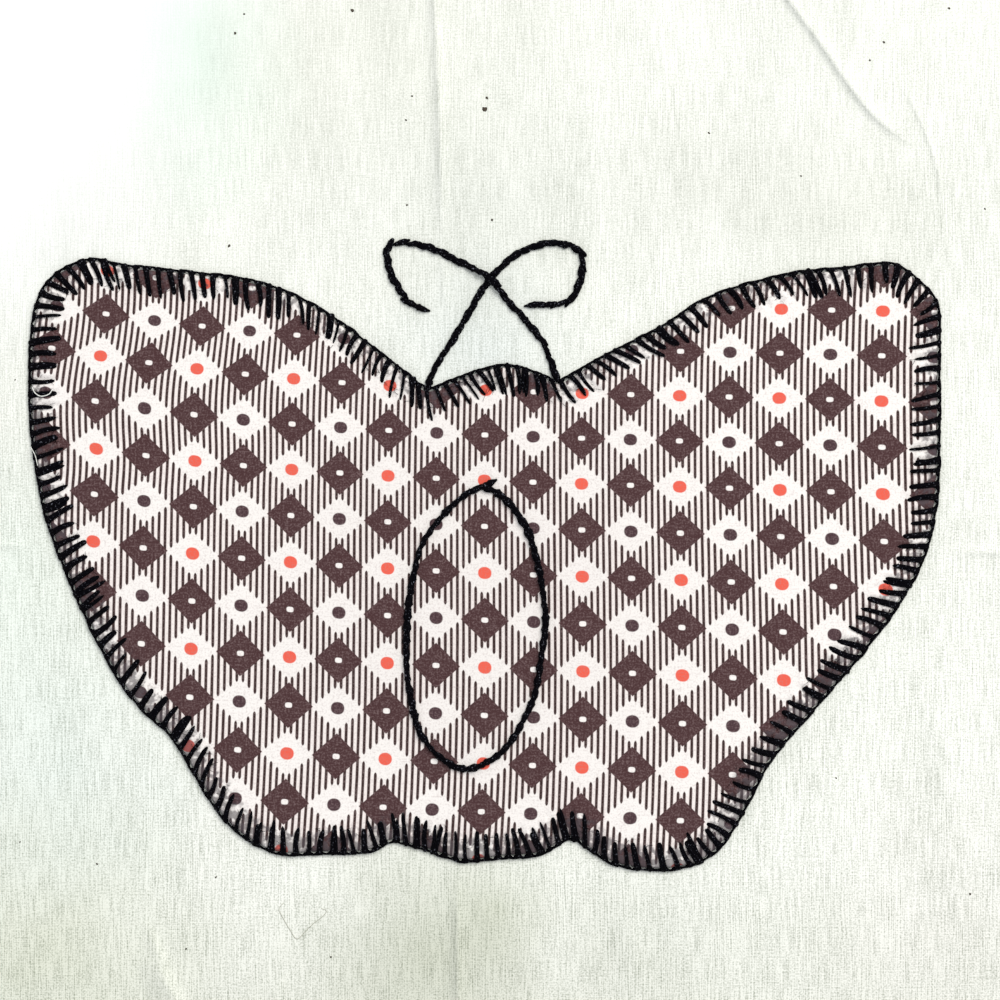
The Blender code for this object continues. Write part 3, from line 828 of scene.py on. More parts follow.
@dataclass(frozen=True)
class MuslinFinish:
    """Washed cotton muslin, plain weave: a matt warm white, with single threads that show as fine upright streaks."""

    # The real threads lie 0.385 mm apart. They are drawn a fifth coarser, so that they show
    thread_pitch: float = 0.46
    colour: str = "#F0F1E9"
    gap_colour: str = "#A2A799"
    base_gap: float = 0.22
    # The weave shows more strongly towards the bottom. At the upper left it is painted paler and smoother, as painted
    # light
    openness: float = 0.75
    openness_per_mm: float = -0.0022
    painted_light_smoothing: float = 3e-5
    painted_light_from: float = 0.7
    painted_light_over: float = 4500.0
    painted_light_colour: str = "#F2F3F2"
    # How much each unevenness shows: upright streaks, level streaks, specks and broad blotches
    streak: float = 1.5
    level_streak: float = 0.5
    speck: float = 2.0
    blotch: float = 0.45

    def material(self) -> bpy.types.Material:
        """The material: threads, slubs, stains and painted shade on Object coordinates, and painted light at the upper
        left.
        """
        material, tree, shader = new_material("cotton_muslin_plain_weave")
        known: dict[str, Any] = {}
        mm = millimetres(tree, known)
        for name, per_mm, detail in (
            ("drift", (0.02, 0.02, 0.0), 1.0),
            ("warp jitter", (0.8, 0.05, 0.0), 1.0),
            ("weft jitter", (0.05, 0.8, 0.0), 1.0),
            ("warp streak", (2.7, 0.16, 0.0), 2.0),
            ("weft streak", (0.2, 2.7, 0.0), 2.0),
            ("speck", (2.9, 2.9, 0.0), 1.0),
            ("patch", (0.16, 0.05, 0.0), 2.0),
            ("blotch", (0.09, 0.022, 0.0), 3.0),
        ):
            known[name] = stretched_noise(tree, mm, per_mm, detail)
        turn = math.tau / self.thread_pitch
        work_out(
            tree,
            known,
            (
                ("bent x", "MULTIPLY_ADD", "drift", 2.5, "raw x"),
                ("bent y", "MULTIPLY_ADD", "drift", -2.5, "raw y"),
                ("warp place", "MULTIPLY_ADD", "warp jitter", 1.1, "bent x"),
                ("weft place", "MULTIPLY_ADD", "weft jitter", 1.1, "bent y"),
                ("warp turn", "MULTIPLY", "warp place", turn),
                ("weft turn", "MULTIPLY", "weft place", turn),
                ("warp", "COSINE", "warp turn"),
                ("weft", "COSINE", "weft turn"),
                ("patch mask", "MULTIPLY_ADD", "patch", 3.0, -1.0),
                ("warp depth", "MULTIPLY_ADD", "patch mask", 0.2, 0.05),
                ("warp gaps", "MULTIPLY", "warp", "warp depth"),
                ("gaps", "MULTIPLY_ADD", "weft", 0.06, "warp gaps"),
                ("streaked", "MULTIPLY_ADD", "warp streak", self.streak, "gaps"),
                ("crossed", "MULTIPLY_ADD", "weft streak", self.level_streak, "streaked"),
                ("specked", "MULTIPLY_ADD", "speck", self.speck, "crossed"),
                ("weave", "SUBTRACT", "specked", (self.streak + self.level_streak + self.speck) / 2),
                ("left side", "MINIMUM", "raw x", 0.0),
                ("upper side", "MAXIMUM", "raw y", 0.0),
                ("upper left", "MULTIPLY", "left side", "upper side"),
                ("more open lower", "MULTIPLY_ADD", "raw y", self.openness_per_mm, self.openness),
                ("open share", "MULTIPLY_ADD", "upper left", self.painted_light_smoothing, "more open lower"),
                ("open some", "MAXIMUM", "open share", 0.04),
                ("open weave", "MULTIPLY", "weave", "open some"),
                # Painted light: the upper left is painted paler, with its weave smoothed away
                ("painted light mask", "MULTIPLY_ADD", "upper left", -1 / self.painted_light_over, -self.painted_light_from),
                ("blotched", "MULTIPLY_ADD", "blotch", self.blotch, "open weave"),
                ("gap mask", "SUBTRACT", "blotched", self.blotch / 2 - self.base_gap),
            ),
        )
        over = (("gap mask", self.gap_colour), ("painted light mask", self.painted_light_colour))
        colour = layered(tree, known, self.colour, over)
        # Stains, and patches of painted shade that darken the muslin towards the bottom
        for stain_and_shade in STAINS_AND_SHADE:
            colour = self.stained_and_shaded(tree, mm, colour, stain_and_shade)
        tree.links.new(colour, shader.inputs["Base Color"])
        cloth_surface(tree, shader, known["open weave"], 0.04, 0.92, 0.05)
        return material

    @staticmethod
    def stained_and_shaded(tree: bpy.types.NodeTree, mm: Any, colour: Any, stain_and_shade: StainAndShade) -> Any:
        """The colour with one stain or patch of painted shade mixed in.

        Args:
            tree: the material's node tree.
            mm: the Object coordinates in millimetres.
            colour: the colour so far.
            stain_and_shade: the stain, or the patch of painted shade.

        Returns:
            The socket of the mixed colour.
        """
        placing = {
            "Vector": mm,
            "Location": (-stain_and_shade.x / stain_and_shade.reach_x, -stain_and_shade.y / stain_and_shade.reach_y, 0.0),
            "Scale": (1 / stain_and_shade.reach_x, 1 / stain_and_shade.reach_y, 0.0),
        }
        mapped = add_node(tree, "ShaderNodeMapping", placing).outputs[0]
        ragged = add_node(tree, "ShaderNodeTexNoise", {"Vector": mm, "Scale": 0.06, "Detail": 3.0}).outputs["Color"]
        centred = add_node(tree, "ShaderNodeVectorMath", (ragged, (0.5, 0.5, 0.5)), operation="SUBTRACT").outputs[0]
        moved = add_node(
            tree, "ShaderNodeVectorMath", (centred, (0.6, 0.6, 0.0), mapped), operation="MULTIPLY_ADD"
        ).outputs[0]
        spot = add_node(tree, "ShaderNodeTexGradient", (moved,), gradient_type="SPHERICAL").outputs[1]
        mask = work_out(tree, {"spot": spot}, (("stain and shade mask", "MULTIPLY", "spot", stain_and_shade.strength * 1.4),))
        inputs = {0: mask["stain and shade mask"], 6: colour, 7: linear(stain_and_shade.colour)}
        return add_node(tree, "ShaderNodeMix", inputs, data_type="RGBA", blend_type="MULTIPLY").outputs[2]


@dataclass(frozen=True)
class PrintFinish:
    """Roller-printed dress cotton: a crisp bias check in faded brown, with pinstripes and coral dots on white."""

    first_dot: Row = (7.25, -4.66)
    step_across: float = 9.815
    step_up: float = 9.37
    # How the cloth leans, bows and is pulled: what the check's columns and rows gain with x, y and their products.
    # A separate program fitted these shares to the dots' places in the photograph, and they were then rounded
    columns: tuple[tuple[str, float], ...] = (
        ("x", 1.011), ("y", 0.0045), ("xx", -0.00013), ("xy", 0.00032), ("xxx", -3e-6), ("yyy", -8e-6),
    )
    rows: tuple[tuple[str, float], ...] = (
        ("x", 0.041), ("y", 1.002), ("xx", -0.00025), ("yy", 0.00056), ("xxx", 3e-6), ("xxy", -4e-6), ("yyy", 3e-6),
    )
    starts: Row = (0.21, 0.13)
    stripes_a_step: float = 8.0
    stripe_share: float = 0.47
    ink_bleed: float = 0.035
    wander: float = 0.07
    # The upper left wing's cloth is pulled to and fro a little more than the rest, in waves: their turn for each
    # millimetre of height, where they start, how late the second follows, and how far they reach across and up
    pull_turn: float = 0.185
    pull_start: float = 38.0
    pull_lag: float = 0.925
    pull_across: float = 0.5
    pull_up: float = 0.3
    white: str = "#ECE7E2"
    blush: str = "#E6D8D3"
    brown: str = "#452C2D"
    stripe: str = "#33211F"
    dark_dot: str = "#453034"
    coral: str = "#E15C49"
    soil: str = "#B9B0AC"
    fleck: str = "#9A8584"
    # Floss lint, and painted shade between the stitch legs
    dirt_and_shade: str = "#4B4448"

    @staticmethod
    def pulled(name: str, start: float, terms: Sequence[tuple[str, float]], pitch: float) -> list[tuple[Any, ...]]:
        """Steps that add up the terms and count them in steps of the check.

        Args:
            name: what the last step is called.
            start: what is added to the terms.
            terms: names of sockets, and the share that each adds.
            pitch: the check's step.

        Returns:
            The steps for work_out.
        """
        total: Any = start
        steps: list[tuple[Any, ...]] = []
        for term, share in terms:
            steps.append((f"{name} with {term}", "MULTIPLY_ADD", term, share, total))
            total = f"{name} with {term}"
        return [*steps, (name, "DIVIDE", total, pitch)]

    def check_steps(self) -> Steps:
        """The sums that say which part of the check a place is in."""
        sharp = 1 / self.ink_bleed
        return (
            ("x", "MULTIPLY_ADD", "wander x", self.wander * 2, "plain x"),
            ("y", "MULTIPLY_ADD", "wander y", self.wander * 2, "plain y"),
            ("xx", "MULTIPLY", "x", "x"),
            ("xy", "MULTIPLY", "x", "y"),
            ("yy", "MULTIPLY", "y", "y"),
            ("xxx", "MULTIPLY", "xx", "x"),
            ("xxy", "MULTIPLY", "xx", "y"),
            ("yyy", "MULTIPLY", "yy", "y"),
            *self.pulled("u", self.starts[0], self.columns, self.step_across),
            *self.pulled("v", self.starts[1], self.rows, self.step_up),
            ("site u", "ROUND", "u"),
            ("site v", "ROUND", "v"),
            ("off u", "SUBTRACT", "u", "site u"),
            ("off v", "SUBTRACT", "v", "site v"),
            ("across", "ABSOLUTE", "off u"),
            ("up", "ABSOLUTE", "off v"),
            ("site sum", "ADD", "site u", "site v"),
            ("is brown", "PINGPONG", "site sum", 1.0),
            ("is white", "SUBTRACT", 1.0, "is brown"),
            ("odd column", "PINGPONG", "site u", 1.0),
            ("even column", "SUBTRACT", 1.0, "odd column"),
            # The brown diamond
            ("brown reach", "MULTIPLY", "across", 1 / 0.495),
            ("brown edge", "MULTIPLY_ADD", "up", 1 / 0.478, "brown reach"),
            ("brown mask", "MULTIPLY_ADD", "brown edge", -sharp, sharp + 0.5),
            ("brown", "MULTIPLY", "brown mask", "is brown"),
            # Pinstripes, each with a rounded end where the white diamond starts
            ("stripe number", "MULTIPLY", "across", self.stripes_a_step),
            ("stripe spot", "FRACT", "stripe number"),
            ("stripe off", "SUBTRACT", "stripe spot", 0.5),
            ("stripe away", "ABSOLUTE", "stripe off"),
            ("stripe mask", "MULTIPLY_ADD", "stripe away", -sharp * 0.3, sharp * 0.3 * self.stripe_share / 2 + 0.5),
            ("whole stripes", "FLOOR", "stripe number"),
            ("stripe middle", "ADD", "whole stripes", 0.5),
            ("white end", "MULTIPLY_ADD", "stripe middle", -0.457 / 0.518 / self.stripes_a_step, 0.457),
            ("rounding", "POWER", "stripe away", 2.0),
            ("round end", "MULTIPLY_ADD", "rounding", 0.75, "white end"),
            ("past end", "SUBTRACT", "up", "round end"),
            ("past end mask", "MULTIPLY_ADD", "past end", sharp * 1.4, 0.5),
            ("cut stripes", "MAXIMUM", "past end mask", "is brown"),
            ("stripes", "MULTIPLY", "stripe mask", "cut stripes"),
            # The dots, and the small white pip in each brown diamond
            *self.round_steps("dot", 0.137, 0.129, 2.2, sharp * 0.12),
            ("dot", "MULTIPLY", "dot mask", "is white"),
            ("coral", "MULTIPLY", "dot", "even column"),
            ("dark dot", "MULTIPLY", "dot", "odd column"),
            *self.round_steps("pip", 0.071, 0.055, 3.0, sharp * 0.05),
            ("pip", "MULTIPLY", "pip mask", "is brown"),
        )

    @staticmethod
    def round_steps(name: str, half_across: float, half_up: float, power: float, sharp: float) -> Steps:
        """Steps for a round spot in the middle of a site.

        Args:
            name: what it is called.
            half_across: half its width.
            half_up: half its height.
            power: 2 for an oval, more for squarer corners.
            sharp: how sharp its edge is.

        Returns:
            The steps for work_out.
        """
        return (
            (f"{name} across", "DIVIDE", "across", half_across),
            (f"{name} up", "DIVIDE", "up", half_up),
            (f"{name} across bent", "POWER", f"{name} across", power),
            (f"{name} up bent", "POWER", f"{name} up", power),
            (f"{name} reach", "ADD", f"{name} across bent", f"{name} up bent"),
            (f"{name} mask", "MULTIPLY_ADD", f"{name} reach", -sharp, sharp + 0.5),
        )

    def material(self) -> bpy.types.Material:
        """The material: the check, its fading and the weave on Object coordinates, and floss lint with painted shade
        near the stitches.
        """
        material, tree, shader = new_material("printed_dress_cotton")
        known: dict[str, Any] = {}
        mm = millimetres(tree, known)
        for name, per_mm, detail in (
            ("wander x", (0.9, 0.12, 0.0), 2.0),
            ("wander y", (0.9, 0.9, 0.0), 2.0),
            ("warp thread", (2.4, 0.3, 0.0), 2.0),
            ("weft thread", (0.3, 2.4, 0.0), 2.0),
            ("fade", (0.05, 0.05, 0.0), 2.0),
            ("grain", (2.7, 2.7, 0.0), 1.0),
            ("dirt_and_shade", (0.8, 0.8, 0.0), 3.0),
        ):
            known[name] = stretched_noise(tree, mm, per_mm, detail)
        band = add_node(tree, "ShaderNodeAttribute", attribute_name="stitch_band")
        known["band"] = band.outputs["Fac"]
        work_out(
            tree,
            known,
            (
                ("pull turn", "MULTIPLY_ADD", "raw y", self.pull_turn, -self.pull_start * self.pull_turn),
                ("pull across", "SINE", "pull turn"),
                ("late turn", "SUBTRACT", "pull turn", self.pull_lag),
                ("pull down", "SINE", "late turn"),
                ("left mask", "MULTIPLY_ADD", "raw x", -1 / 40.0, -0.5),
                ("high mask", "MULTIPLY_ADD", "raw y", 0.1, -1.2),
                ("pull share", "MULTIPLY", "left mask", "high mask"),
                ("pull x", "MULTIPLY", "pull across", "pull share"),
                ("pull y", "MULTIPLY", "pull down", "pull share"),
                ("pulled x", "MULTIPLY_ADD", "pull x", -self.pull_across, "raw x"),
                ("pulled y", "MULTIPLY_ADD", "pull y", self.pull_up, "raw y"),
                ("plain x", "ADD", "pulled x", -self.first_dot[0] - self.wander),
                ("plain y", "ADD", "pulled y", -self.first_dot[1] - self.wander),
                *self.check_steps(),
                ("threads", "ADD", "warp thread", "weft thread"),
                ("thread grain", "MULTIPLY_ADD", "grain", 2.4, "threads"),
                ("fleck mask", "MULTIPLY_ADD", "thread grain", 0.42, -0.88),
                ("blush mask", "MULTIPLY_ADD", "stripe away", -1.0, 0.85),
                ("blush", "MULTIPLY", "blush mask", "cut stripes"),
                ("from middle", "ADD", "xx", "yy"),
                ("soil", "MULTIPLY_ADD", "from middle", -1 / 3600.0, 0.55),
                ("soil mask", "MULTIPLY_ADD", "fade", 0.6, "soil"),
                ("soiled mask", "MULTIPLY", "soil mask", 0.16),
                # Near the stitches: dark floss lint, and painted shade between the legs, painted darker towards the
                # bottom
                ("dirt and shade lower down", "MULTIPLY_ADD", "raw y", -0.007, -3.05),
                ("dirt and shade near", "MULTIPLY_ADD", "band", 1.2, "dirt and shade lower down"),
                ("rough dirt and shade mask", "MULTIPLY_ADD", "dirt_and_shade", 5.0, "dirt and shade near"),
                ("dirt and shade mask", "MINIMUM", "rough dirt and shade mask", 0.7),
                ("in band mask", "MULTIPLY", "band", 3.0),
                ("dirtied and shaded", "MULTIPLY", "dirt and shade mask", "in band mask"),
            ),
        )
        colour = layered(
            tree,
            known,
            self.white,
            (
                ("blush", self.blush),
                ("soiled mask", self.soil),
                ("stripes", self.stripe),
                ("brown", self.brown),
                ("coral", self.coral),
                ("dark dot", self.dark_dot),
                ("pip", self.white),
                ("fleck mask", self.fleck),
                ("dirtied and shaded", self.dirt_and_shade),
            ),
        )
        tree.links.new(colour, shader.inputs["Base Color"])
        cloth_surface(tree, shader, known["thread grain"], 0.02, 0.88, 0.03)
        return material


@dataclass(frozen=True)
class YarnFinish:
    """Spun cotton: strands that wind round the thread, nearly matt, with lint on them and a colour painted on the
    strands' crests, a painted highlight on the black floss and a darker tone on the paler yarns.
    """

    name: str
    colour: str
    strand_tone_and_highlight: str
    lint_colour: str
    strands: float
    twist_length: float
    lint: float = 0.0
    strand_height: float = 0.06
    roughness: float = 0.85
    gloss: float = 0.2

    def material(self) -> bpy.types.Material:
        """The material: strands, fibres and lint on the thread's own UV map."""
        material, tree, shader = new_material(self.name)
        place = add_node(tree, "ShaderNodeUVMap", uv_map="ThreadUV").outputs[0]
        solid = add_node(tree, "ShaderNodeTexCoord").outputs["Object"]
        apart = add_node(tree, "ShaderNodeSeparateXYZ", (place,))
        fibres = add_node(tree, "ShaderNodeVectorMath", (place, (14.0, 1.2, 0.0)), operation="MULTIPLY").outputs[0]
        known: dict[str, Any] = {
            "around": apart.outputs[0],
            "along": apart.outputs[1],
            "fibre": add_node(tree, "ShaderNodeTexNoise", {"Vector": fibres, "Scale": 1.0, "Detail": 3.0}).outputs[0],
            "fuzz": add_node(tree, "ShaderNodeTexNoise", {"Vector": solid, "Scale": 2600.0, "Detail": 2.0}).outputs[0],
        }
        work_out(
            tree,
            known,
            (
                ("round strands", "MULTIPLY", "around", self.strands * math.tau),
                ("wound", "MULTIPLY_ADD", "along", math.tau / self.twist_length, "round strands"),
                ("strand", "SINE", "wound"),
                ("height", "MULTIPLY_ADD", "fibre", 1.2, "strand"),
                ("strand shade", "MULTIPLY_ADD", "height", 0.28, 0.05),
                ("strand tone and highlight mask", "MULTIPLY", "strand shade", "fibre"),
                ("lint over", "SUBTRACT", "fuzz", 1.0 - self.lint),
                ("lint mask", "MULTIPLY", "lint over", 8.0),
            ),
        )
        # The strand colour lies on the strands' crests: on the black floss it is a painted highlight
        over = (("strand tone and highlight mask", self.strand_tone_and_highlight), ("lint mask", self.lint_colour))
        tree.links.new(layered(tree, known, self.colour, over), shader.inputs["Base Color"])
        cloth_surface(tree, shader, known["height"], self.strand_height, self.roughness, gloss=self.gloss)
        return material


# The floss's strand colour is a painted highlight along the crests of its strands
BLACK_FLOSS = YarnFinish(
    "six_strand_cotton_floss", "#020104", "#0B0A13", "#6A6C76", 6.0, 4.5, lint=0.37, roughness=0.8, gloss=0.05
)
MUSLIN_YARN = YarnFinish("raw_muslin_yarn", "#F3F4EC", "#E4E4D8", "#FFFFFF", 2.0, 0.9, strand_height=0.02)
GREY_HAIR = YarnFinish("stray_hair", "#B0B0A2", "#96968A", "#C8C8C0", 1.0, 3.0, strand_height=0.005, roughness=0.5)
SEED_TRASH = YarnFinish("cotton_seed_trash", "#4A4238", "#2E2820", "#8A8474", 1.0, 0.7, strand_height=0.03)


# ---------------------------------------------------------------- the pieces


@dataclass
class MuslinSquare:
    """The white muslin that all is sewn to, cut square with raw edges."""

    corners: tuple[Row, ...] = ((-127.0, -126.2), (126.3, -127.0), (127.0, 126.4), (-126.4, 127.0))
    thickness: float = 0.35
    outline_pitch: float = 1.5
    field_pitch: float = 1.75
    fold_rows: Row = (-1.0, -0.7, -0.42, -0.2, 0.0, 0.2, 0.42, 0.7, 1.0)
    patch_middle: Row = (7.0, -2.0)
    patch_reach: Row = (112.0, 80.0)
    margin_waves: float = 0.22
    edge_waver: float = 0.5
    finish: MuslinFinish = field(default_factory=MuslinFinish)

    def raised(self, points: np.ndarray) -> np.ndarray:
        """How high the sheet's underside lies: level under the butterfly, wavering down to the table around it.

        Args:
            points: rows of x and y.

        Returns:
            The height of the underside, before the folds lift it.
        """
        level = MUSLIN_TOP - self.thickness
        away = ((points[:, 0] - self.patch_middle[0]) / self.patch_reach[0]) ** 4
        away += ((points[:, 1] - self.patch_middle[1]) / self.patch_reach[1]) ** 4
        out = smooth_step(away, 0.75, 2.6)
        rim = smooth_step(127.0 - np.abs(points).max(axis=1), 0.0, 14.0)
        margin = level * 0.45 + self.margin_waves * ripples(points, 46.0, 3) * rim
        rim_curl = 0.5 * np.clip(ripples(points, 60.0, 8), 0.0, 1.0) ** 2 * (1.0 - rim)
        return np.clip(level * (1.0 - out) + margin * rim * out + rim_curl * out, 0.0, None)

    def top(self, points: np.ndarray) -> np.ndarray:
        """The height of the muslin's upper face."""
        x = (points[:, 0] - self.patch_middle[0]) / self.patch_reach[0]
        y = (points[:, 1] - self.patch_middle[1]) / self.patch_reach[1]
        fine = 0.035 * ripples(points, 9.0, 5) * smooth_step(np.hypot(x, y), 1.0, 1.3)
        return self.raised(points) + self.thickness + fold_lift(points) + fine

    def outline(self) -> np.ndarray:
        """The cut edge, anticlockwise, a little uneven as scissors leave it."""
        sides = []
        for start, end in zip(self.corners, self.corners[1:] + self.corners[:1]):
            run = np.array(end) - np.array(start)
            length = math.hypot(*run)
            inward = np.array([-run[1], run[0]]) / length
            line = np.array(start) + run * np.arange(0.0, 1.0, self.outline_pitch / length)[:, None]
            sides.append(line + inward * self.edge_waver * (0.5 + 0.5 * ripples(line, 34.0, 11))[:, None])
        return np.vstack(sides)

    def inside(self) -> np.ndarray:
        """Points over the whole square, in rows along the folds and closer together there."""
        spots = staggered_grid(np.full(2, -126.0), np.full(2, 126.0), self.field_pitch)
        rows = []
        for fold in FOLDS:
            crest = spaced(smooth_curve(fold.crest), 1.0)
            ahead = np.gradient(crest, axis=0)
            aside = np.column_stack([-ahead[:, 1], ahead[:, 0]]) / np.hypot(*ahead.T)[:, None]
            spots = spots[nearest_on_line(spots, crest)[0] > max(fold.left, fold.right) + 0.6]
            for share in self.fold_rows:
                rows.append(crest + aside * share * (fold.left if share > 0.0 else fold.right))
        points = np.vstack([spots, *rows])
        return points[np.abs(points).max(axis=1) < 124.9]

    def build(self) -> bpy.types.Object:
        """The sheet: an upper face, an underside, and a wall between them at the raw edge."""
        outline = self.outline()
        plan, triangles = fill(outline, self.inside())
        points, faces = [], [tuple(face) for face in triangles]
        for spots in (plan, outline):
            height = self.top(spots)
            points.append(np.column_stack([spots, height]))
            points.append(np.column_stack([spots, np.clip(height - self.thickness, 0.0, None)]))
        faces += [tuple(len(plan) + i for i in reversed(face)) for face in triangles]
        upper, lower = 2 * len(plan), 2 * len(plan) + len(outline)
        for i in range(len(outline)):
            after = (i + 1) % len(outline)
            faces.append((lower + i, lower + after, upper + after, upper + i))
        obj = add_object("muslin_square", mesh_from("muslin_square", np.vstack(points), faces, merge=0.001))
        obj.data.materials.append(self.finish.material())
        return obj


@dataclass
class RawEdgeFringe:
    """The ends of threads that stand out along the muslin's cut edges."""

    muslin: MuslinSquare
    pitch: float = 1.05
    reach: float = 1.6
    gauge: float = 0.16
    seed: int = 21

    def templates(self) -> bpy.types.Collection:
        """Four loose ends, each bent its own way."""
        rng = np.random.default_rng(self.seed)
        meshes = []
        for number in range(4):
            t = np.linspace(0.0, 1.0, 5)
            bend = rng.uniform(-0.5, 0.5, 2)
            line = np.column_stack([t, bend[0] * t**2 * 0.5, bend[1] * 0.12 * np.sin(3.0 * t)])
            widths = self.gauge * np.array([1.0, 1.05, 0.95, 1.0, 0.7])
            meshes.append(thread_mesh(f"loose_end_{number}", line, widths, widths, sides=5))
        return template_set("loose_ends", meshes)

    def build(self, tree: StitchTree) -> bpy.types.Object:
        """The fringe along all four sides.

        Args:
            tree: the tree that sets templates on points.

        Returns:
            The piece.
        """
        rng = np.random.default_rng(self.seed)
        points, turns, sizes = [], [], []
        corners = self.muslin.corners
        for start, end in zip(corners, corners[1:] + corners[:1]):
            start, end = np.array(start), np.array(end)
            run = end - start
            outward = math.atan2(-run[0], run[1])
            count = round(math.hypot(*run) / self.pitch)
            for t in (np.arange(count) + rng.uniform(0.1, 0.9, count)) / count:
                inward = np.array([-run[1], run[0]]) / math.hypot(*run) * 0.7
                points.append(start + run * t + inward)
                turns.append((0.0, rng.uniform(-0.12, 0.05), outward + rng.normal(0.0, 0.22)))
                sizes.append((self.reach * rng.gamma(3.0, 0.33) + 0.5, rng.uniform(0.8, 1.2), 1.0))
        plan = np.array(points)
        heights = self.muslin.raised(plan) + self.muslin.thickness * rng.uniform(0.3, 0.8, len(plan))
        cloud = point_cloud(
            "fringe_points",
            np.column_stack([plan, heights]),
            np.array(turns),
            np.array(sizes),
            rng.integers(0, 4, len(plan)),
        )
        ends = self.templates()
        piece = tree.make(
            "raw_edge_fringe",
            cloud,
            templates=ends,
            finish=MUSLIN_YARN.material(),
            unevenness=(0.1, 0.1, 0.1),
            seed=self.seed,
        )
        clear_templates(ends)
        return piece


@dataclass
class ButterflyApplique:
    """The butterfly of printed cotton, its raw edge turned under all round."""

    edge: Edge
    fold_inset: float = 0.5
    hem_inset: float = 4.0
    thickness: float = 0.35
    loop_pitch: float = 0.6
    band_pitch: float = 0.5
    field_pitch: float = 1.15
    band_depth: float = 7.0
    unevenness: float = 0.07
    # Between the stitches the cloth puffs up and bulges out. Under each leg it is drawn down into a groove
    puffing: float = 0.3
    wrinkling: float = 0.09
    groove: float = 0.22
    groove_half_width: float = 0.72
    bulge: float = 0.32
    bulge_half_width: float = 0.85
    finish: PrintFinish = field(default_factory=PrintFinish)

    def top(self, points: np.ndarray, legs: np.ndarray | None = None) -> np.ndarray:
        """The height of the print's upper face, puffed along the edge and pressed down under each stitch.

        Args:
            points: rows of x and y.
            legs: rows of each leg's root and tip.

        Returns:
            The height at each point.
        """
        height = PRINT_TOP + self.unevenness * ripples(points, 11.0, 9)
        if legs is not None:
            press = np.zeros(len(points))
            for x0, y0, x1, y1 in legs:
                line = np.array([(x0, y0), (x1, y1)])
                near = np.hypot(*(points - line.mean(axis=0)).T) < 4.5
                distance = nearest_on_line(points[near], line)[0]
                press[near] = np.maximum(press[near], np.exp(-((distance / self.groove_half_width) ** 2)))
            band = smooth_step(self.edge.depth(points), 6.2, 3.6)
            puffed = self.puffing + self.wrinkling * (ripples(points, 2.6, 14) + 0.6 * ripples(points, 1.5, 15))
            height += band * (1.0 - press) * puffed - self.groove * press
        return height

    def section(self) -> tuple[Row, ...]:
        """The turned edge in section, as inset and height: over the fold, under the hem, and back inside it."""
        low, high = MUSLIN_TOP + 0.03, PRINT_TOP
        inner = high - self.thickness
        return (
            (1.9, high + 0.03),
            (1.3, high + 0.02),
            (0.9, high - 0.08),
            (0.62, high - 0.28),
            (self.fold_inset, (low + high) / 2),
            (0.62, low + 0.25),
            (0.9, low + 0.06),
            (1.5, low),
            (self.hem_inset, low),
            (self.hem_inset, low + self.thickness),
            (1.4, low + self.thickness),
            (1.0, (low + inner) / 2 + 0.17),
            (1.4, inner),
        )

    def bulging(self, places: np.ndarray, roots: np.ndarray) -> np.ndarray:
        """How far the turned edge stands out at each place, least where a stitch holds it.

        Args:
            places: distances along the edge.
            roots: the distances at which the stitches stand.

        Returns:
            How far out it stands.
        """
        held = np.concatenate([roots - self.edge.length, roots, roots + self.edge.length])
        nearest = np.abs(places[:, None] - held[None, :]).min(axis=1)
        return self.bulge * (1.0 - np.exp(-((nearest / self.bulge_half_width) ** 2)))

    def build(self, legs: np.ndarray, roots: np.ndarray) -> bpy.types.Object:
        """The sheet, with its hem turned under.

        Args:
            legs: rows of each blanket stitch leg's root and tip.
            roots: each root's distance along the edge.

        Returns:
            The piece.
        """
        places = np.linspace(0.0, self.edge.length, round(self.edge.length / self.loop_pitch), endpoint=False)
        start = 2.5
        loop = self.edge.inset_loop(places, start)
        plan, triangles = fill(loop, self.inside(loop, start))
        upper = self.top(plan, legs)
        points = [np.column_stack([plan, upper]), np.column_stack([plan, upper - self.thickness])]
        faces = [tuple(face) for face in triangles]
        faces += [tuple(len(plan) + i for i in reversed(face)) for face in triangles]
        count, base = len(places), 2 * len(plan)
        rim = self.top(loop, legs)
        sections = [np.column_stack([loop, rim])]
        bulging = self.bulging(places, roots)
        for inset, z in self.section():
            ring = self.edge.inset_loop(places, inset - bulging * (1.0 - min(inset, start) / start))
            relief = self.top(ring, legs) - PRINT_TOP if z > PRINT_TOP - 0.2 else 0.0
            sections.append(np.column_stack([ring, np.full(count, z) + relief]))
        sections.append(np.column_stack([loop, rim - self.thickness]))
        for k in range(len(sections) - 1):
            near, far = base + k * count, base + (k + 1) * count
            for i in range(count):
                after = (i + 1) % count
                faces.append((near + i, near + after, far + after, far + i))
        mesh = mesh_from("printed_butterfly", np.vstack(points + sections), faces, merge=0.001)
        spots = np.array([vertex.co[:2] for vertex in mesh.vertices]) / MM
        band = mesh.attributes.new("stitch_band", "FLOAT", "POINT")
        band.data.foreach_set("value", smooth_step(self.edge.depth(spots), 6.4, 0.3))
        obj = add_object("printed_butterfly", mesh)
        obj.data.materials.append(self.finish.material())
        return obj

    def inside(self, loop: np.ndarray, start: float) -> np.ndarray:
        """Points over the inside of the butterfly, closer together near the stitches.

        Args:
            loop: the points that bound it.
            start: how far inside the edge the loop lies.

        Returns:
            The points.
        """
        kept = []
        for pitch, least, most in (
            (self.band_pitch, start + 0.3, self.band_depth),
            (self.field_pitch, self.band_depth, math.inf),
        ):
            spots = staggered_grid(loop.min(axis=0), loop.max(axis=0), pitch)
            depth = self.edge.depth(spots)
            kept.append(spots[(depth > least) & (depth <= most)])
        return np.vstack(kept)


class LegShape(Enum):
    """The ways that a leg of the blanket stitch lies: its bend to the left, its fullness, and its tip's share."""

    STRAIGHT = (0.0, 1.0, 0.6)
    BENT_LEFT = (0.3, 0.95, 0.45)
    BENT_RIGHT = (-0.28, 1.02, 0.55)
    FULL = (0.1, 1.2, 0.75)
    POINTED = (-0.1, 0.95, 0.2)
    THIN = (0.14, 0.74, 0.4)


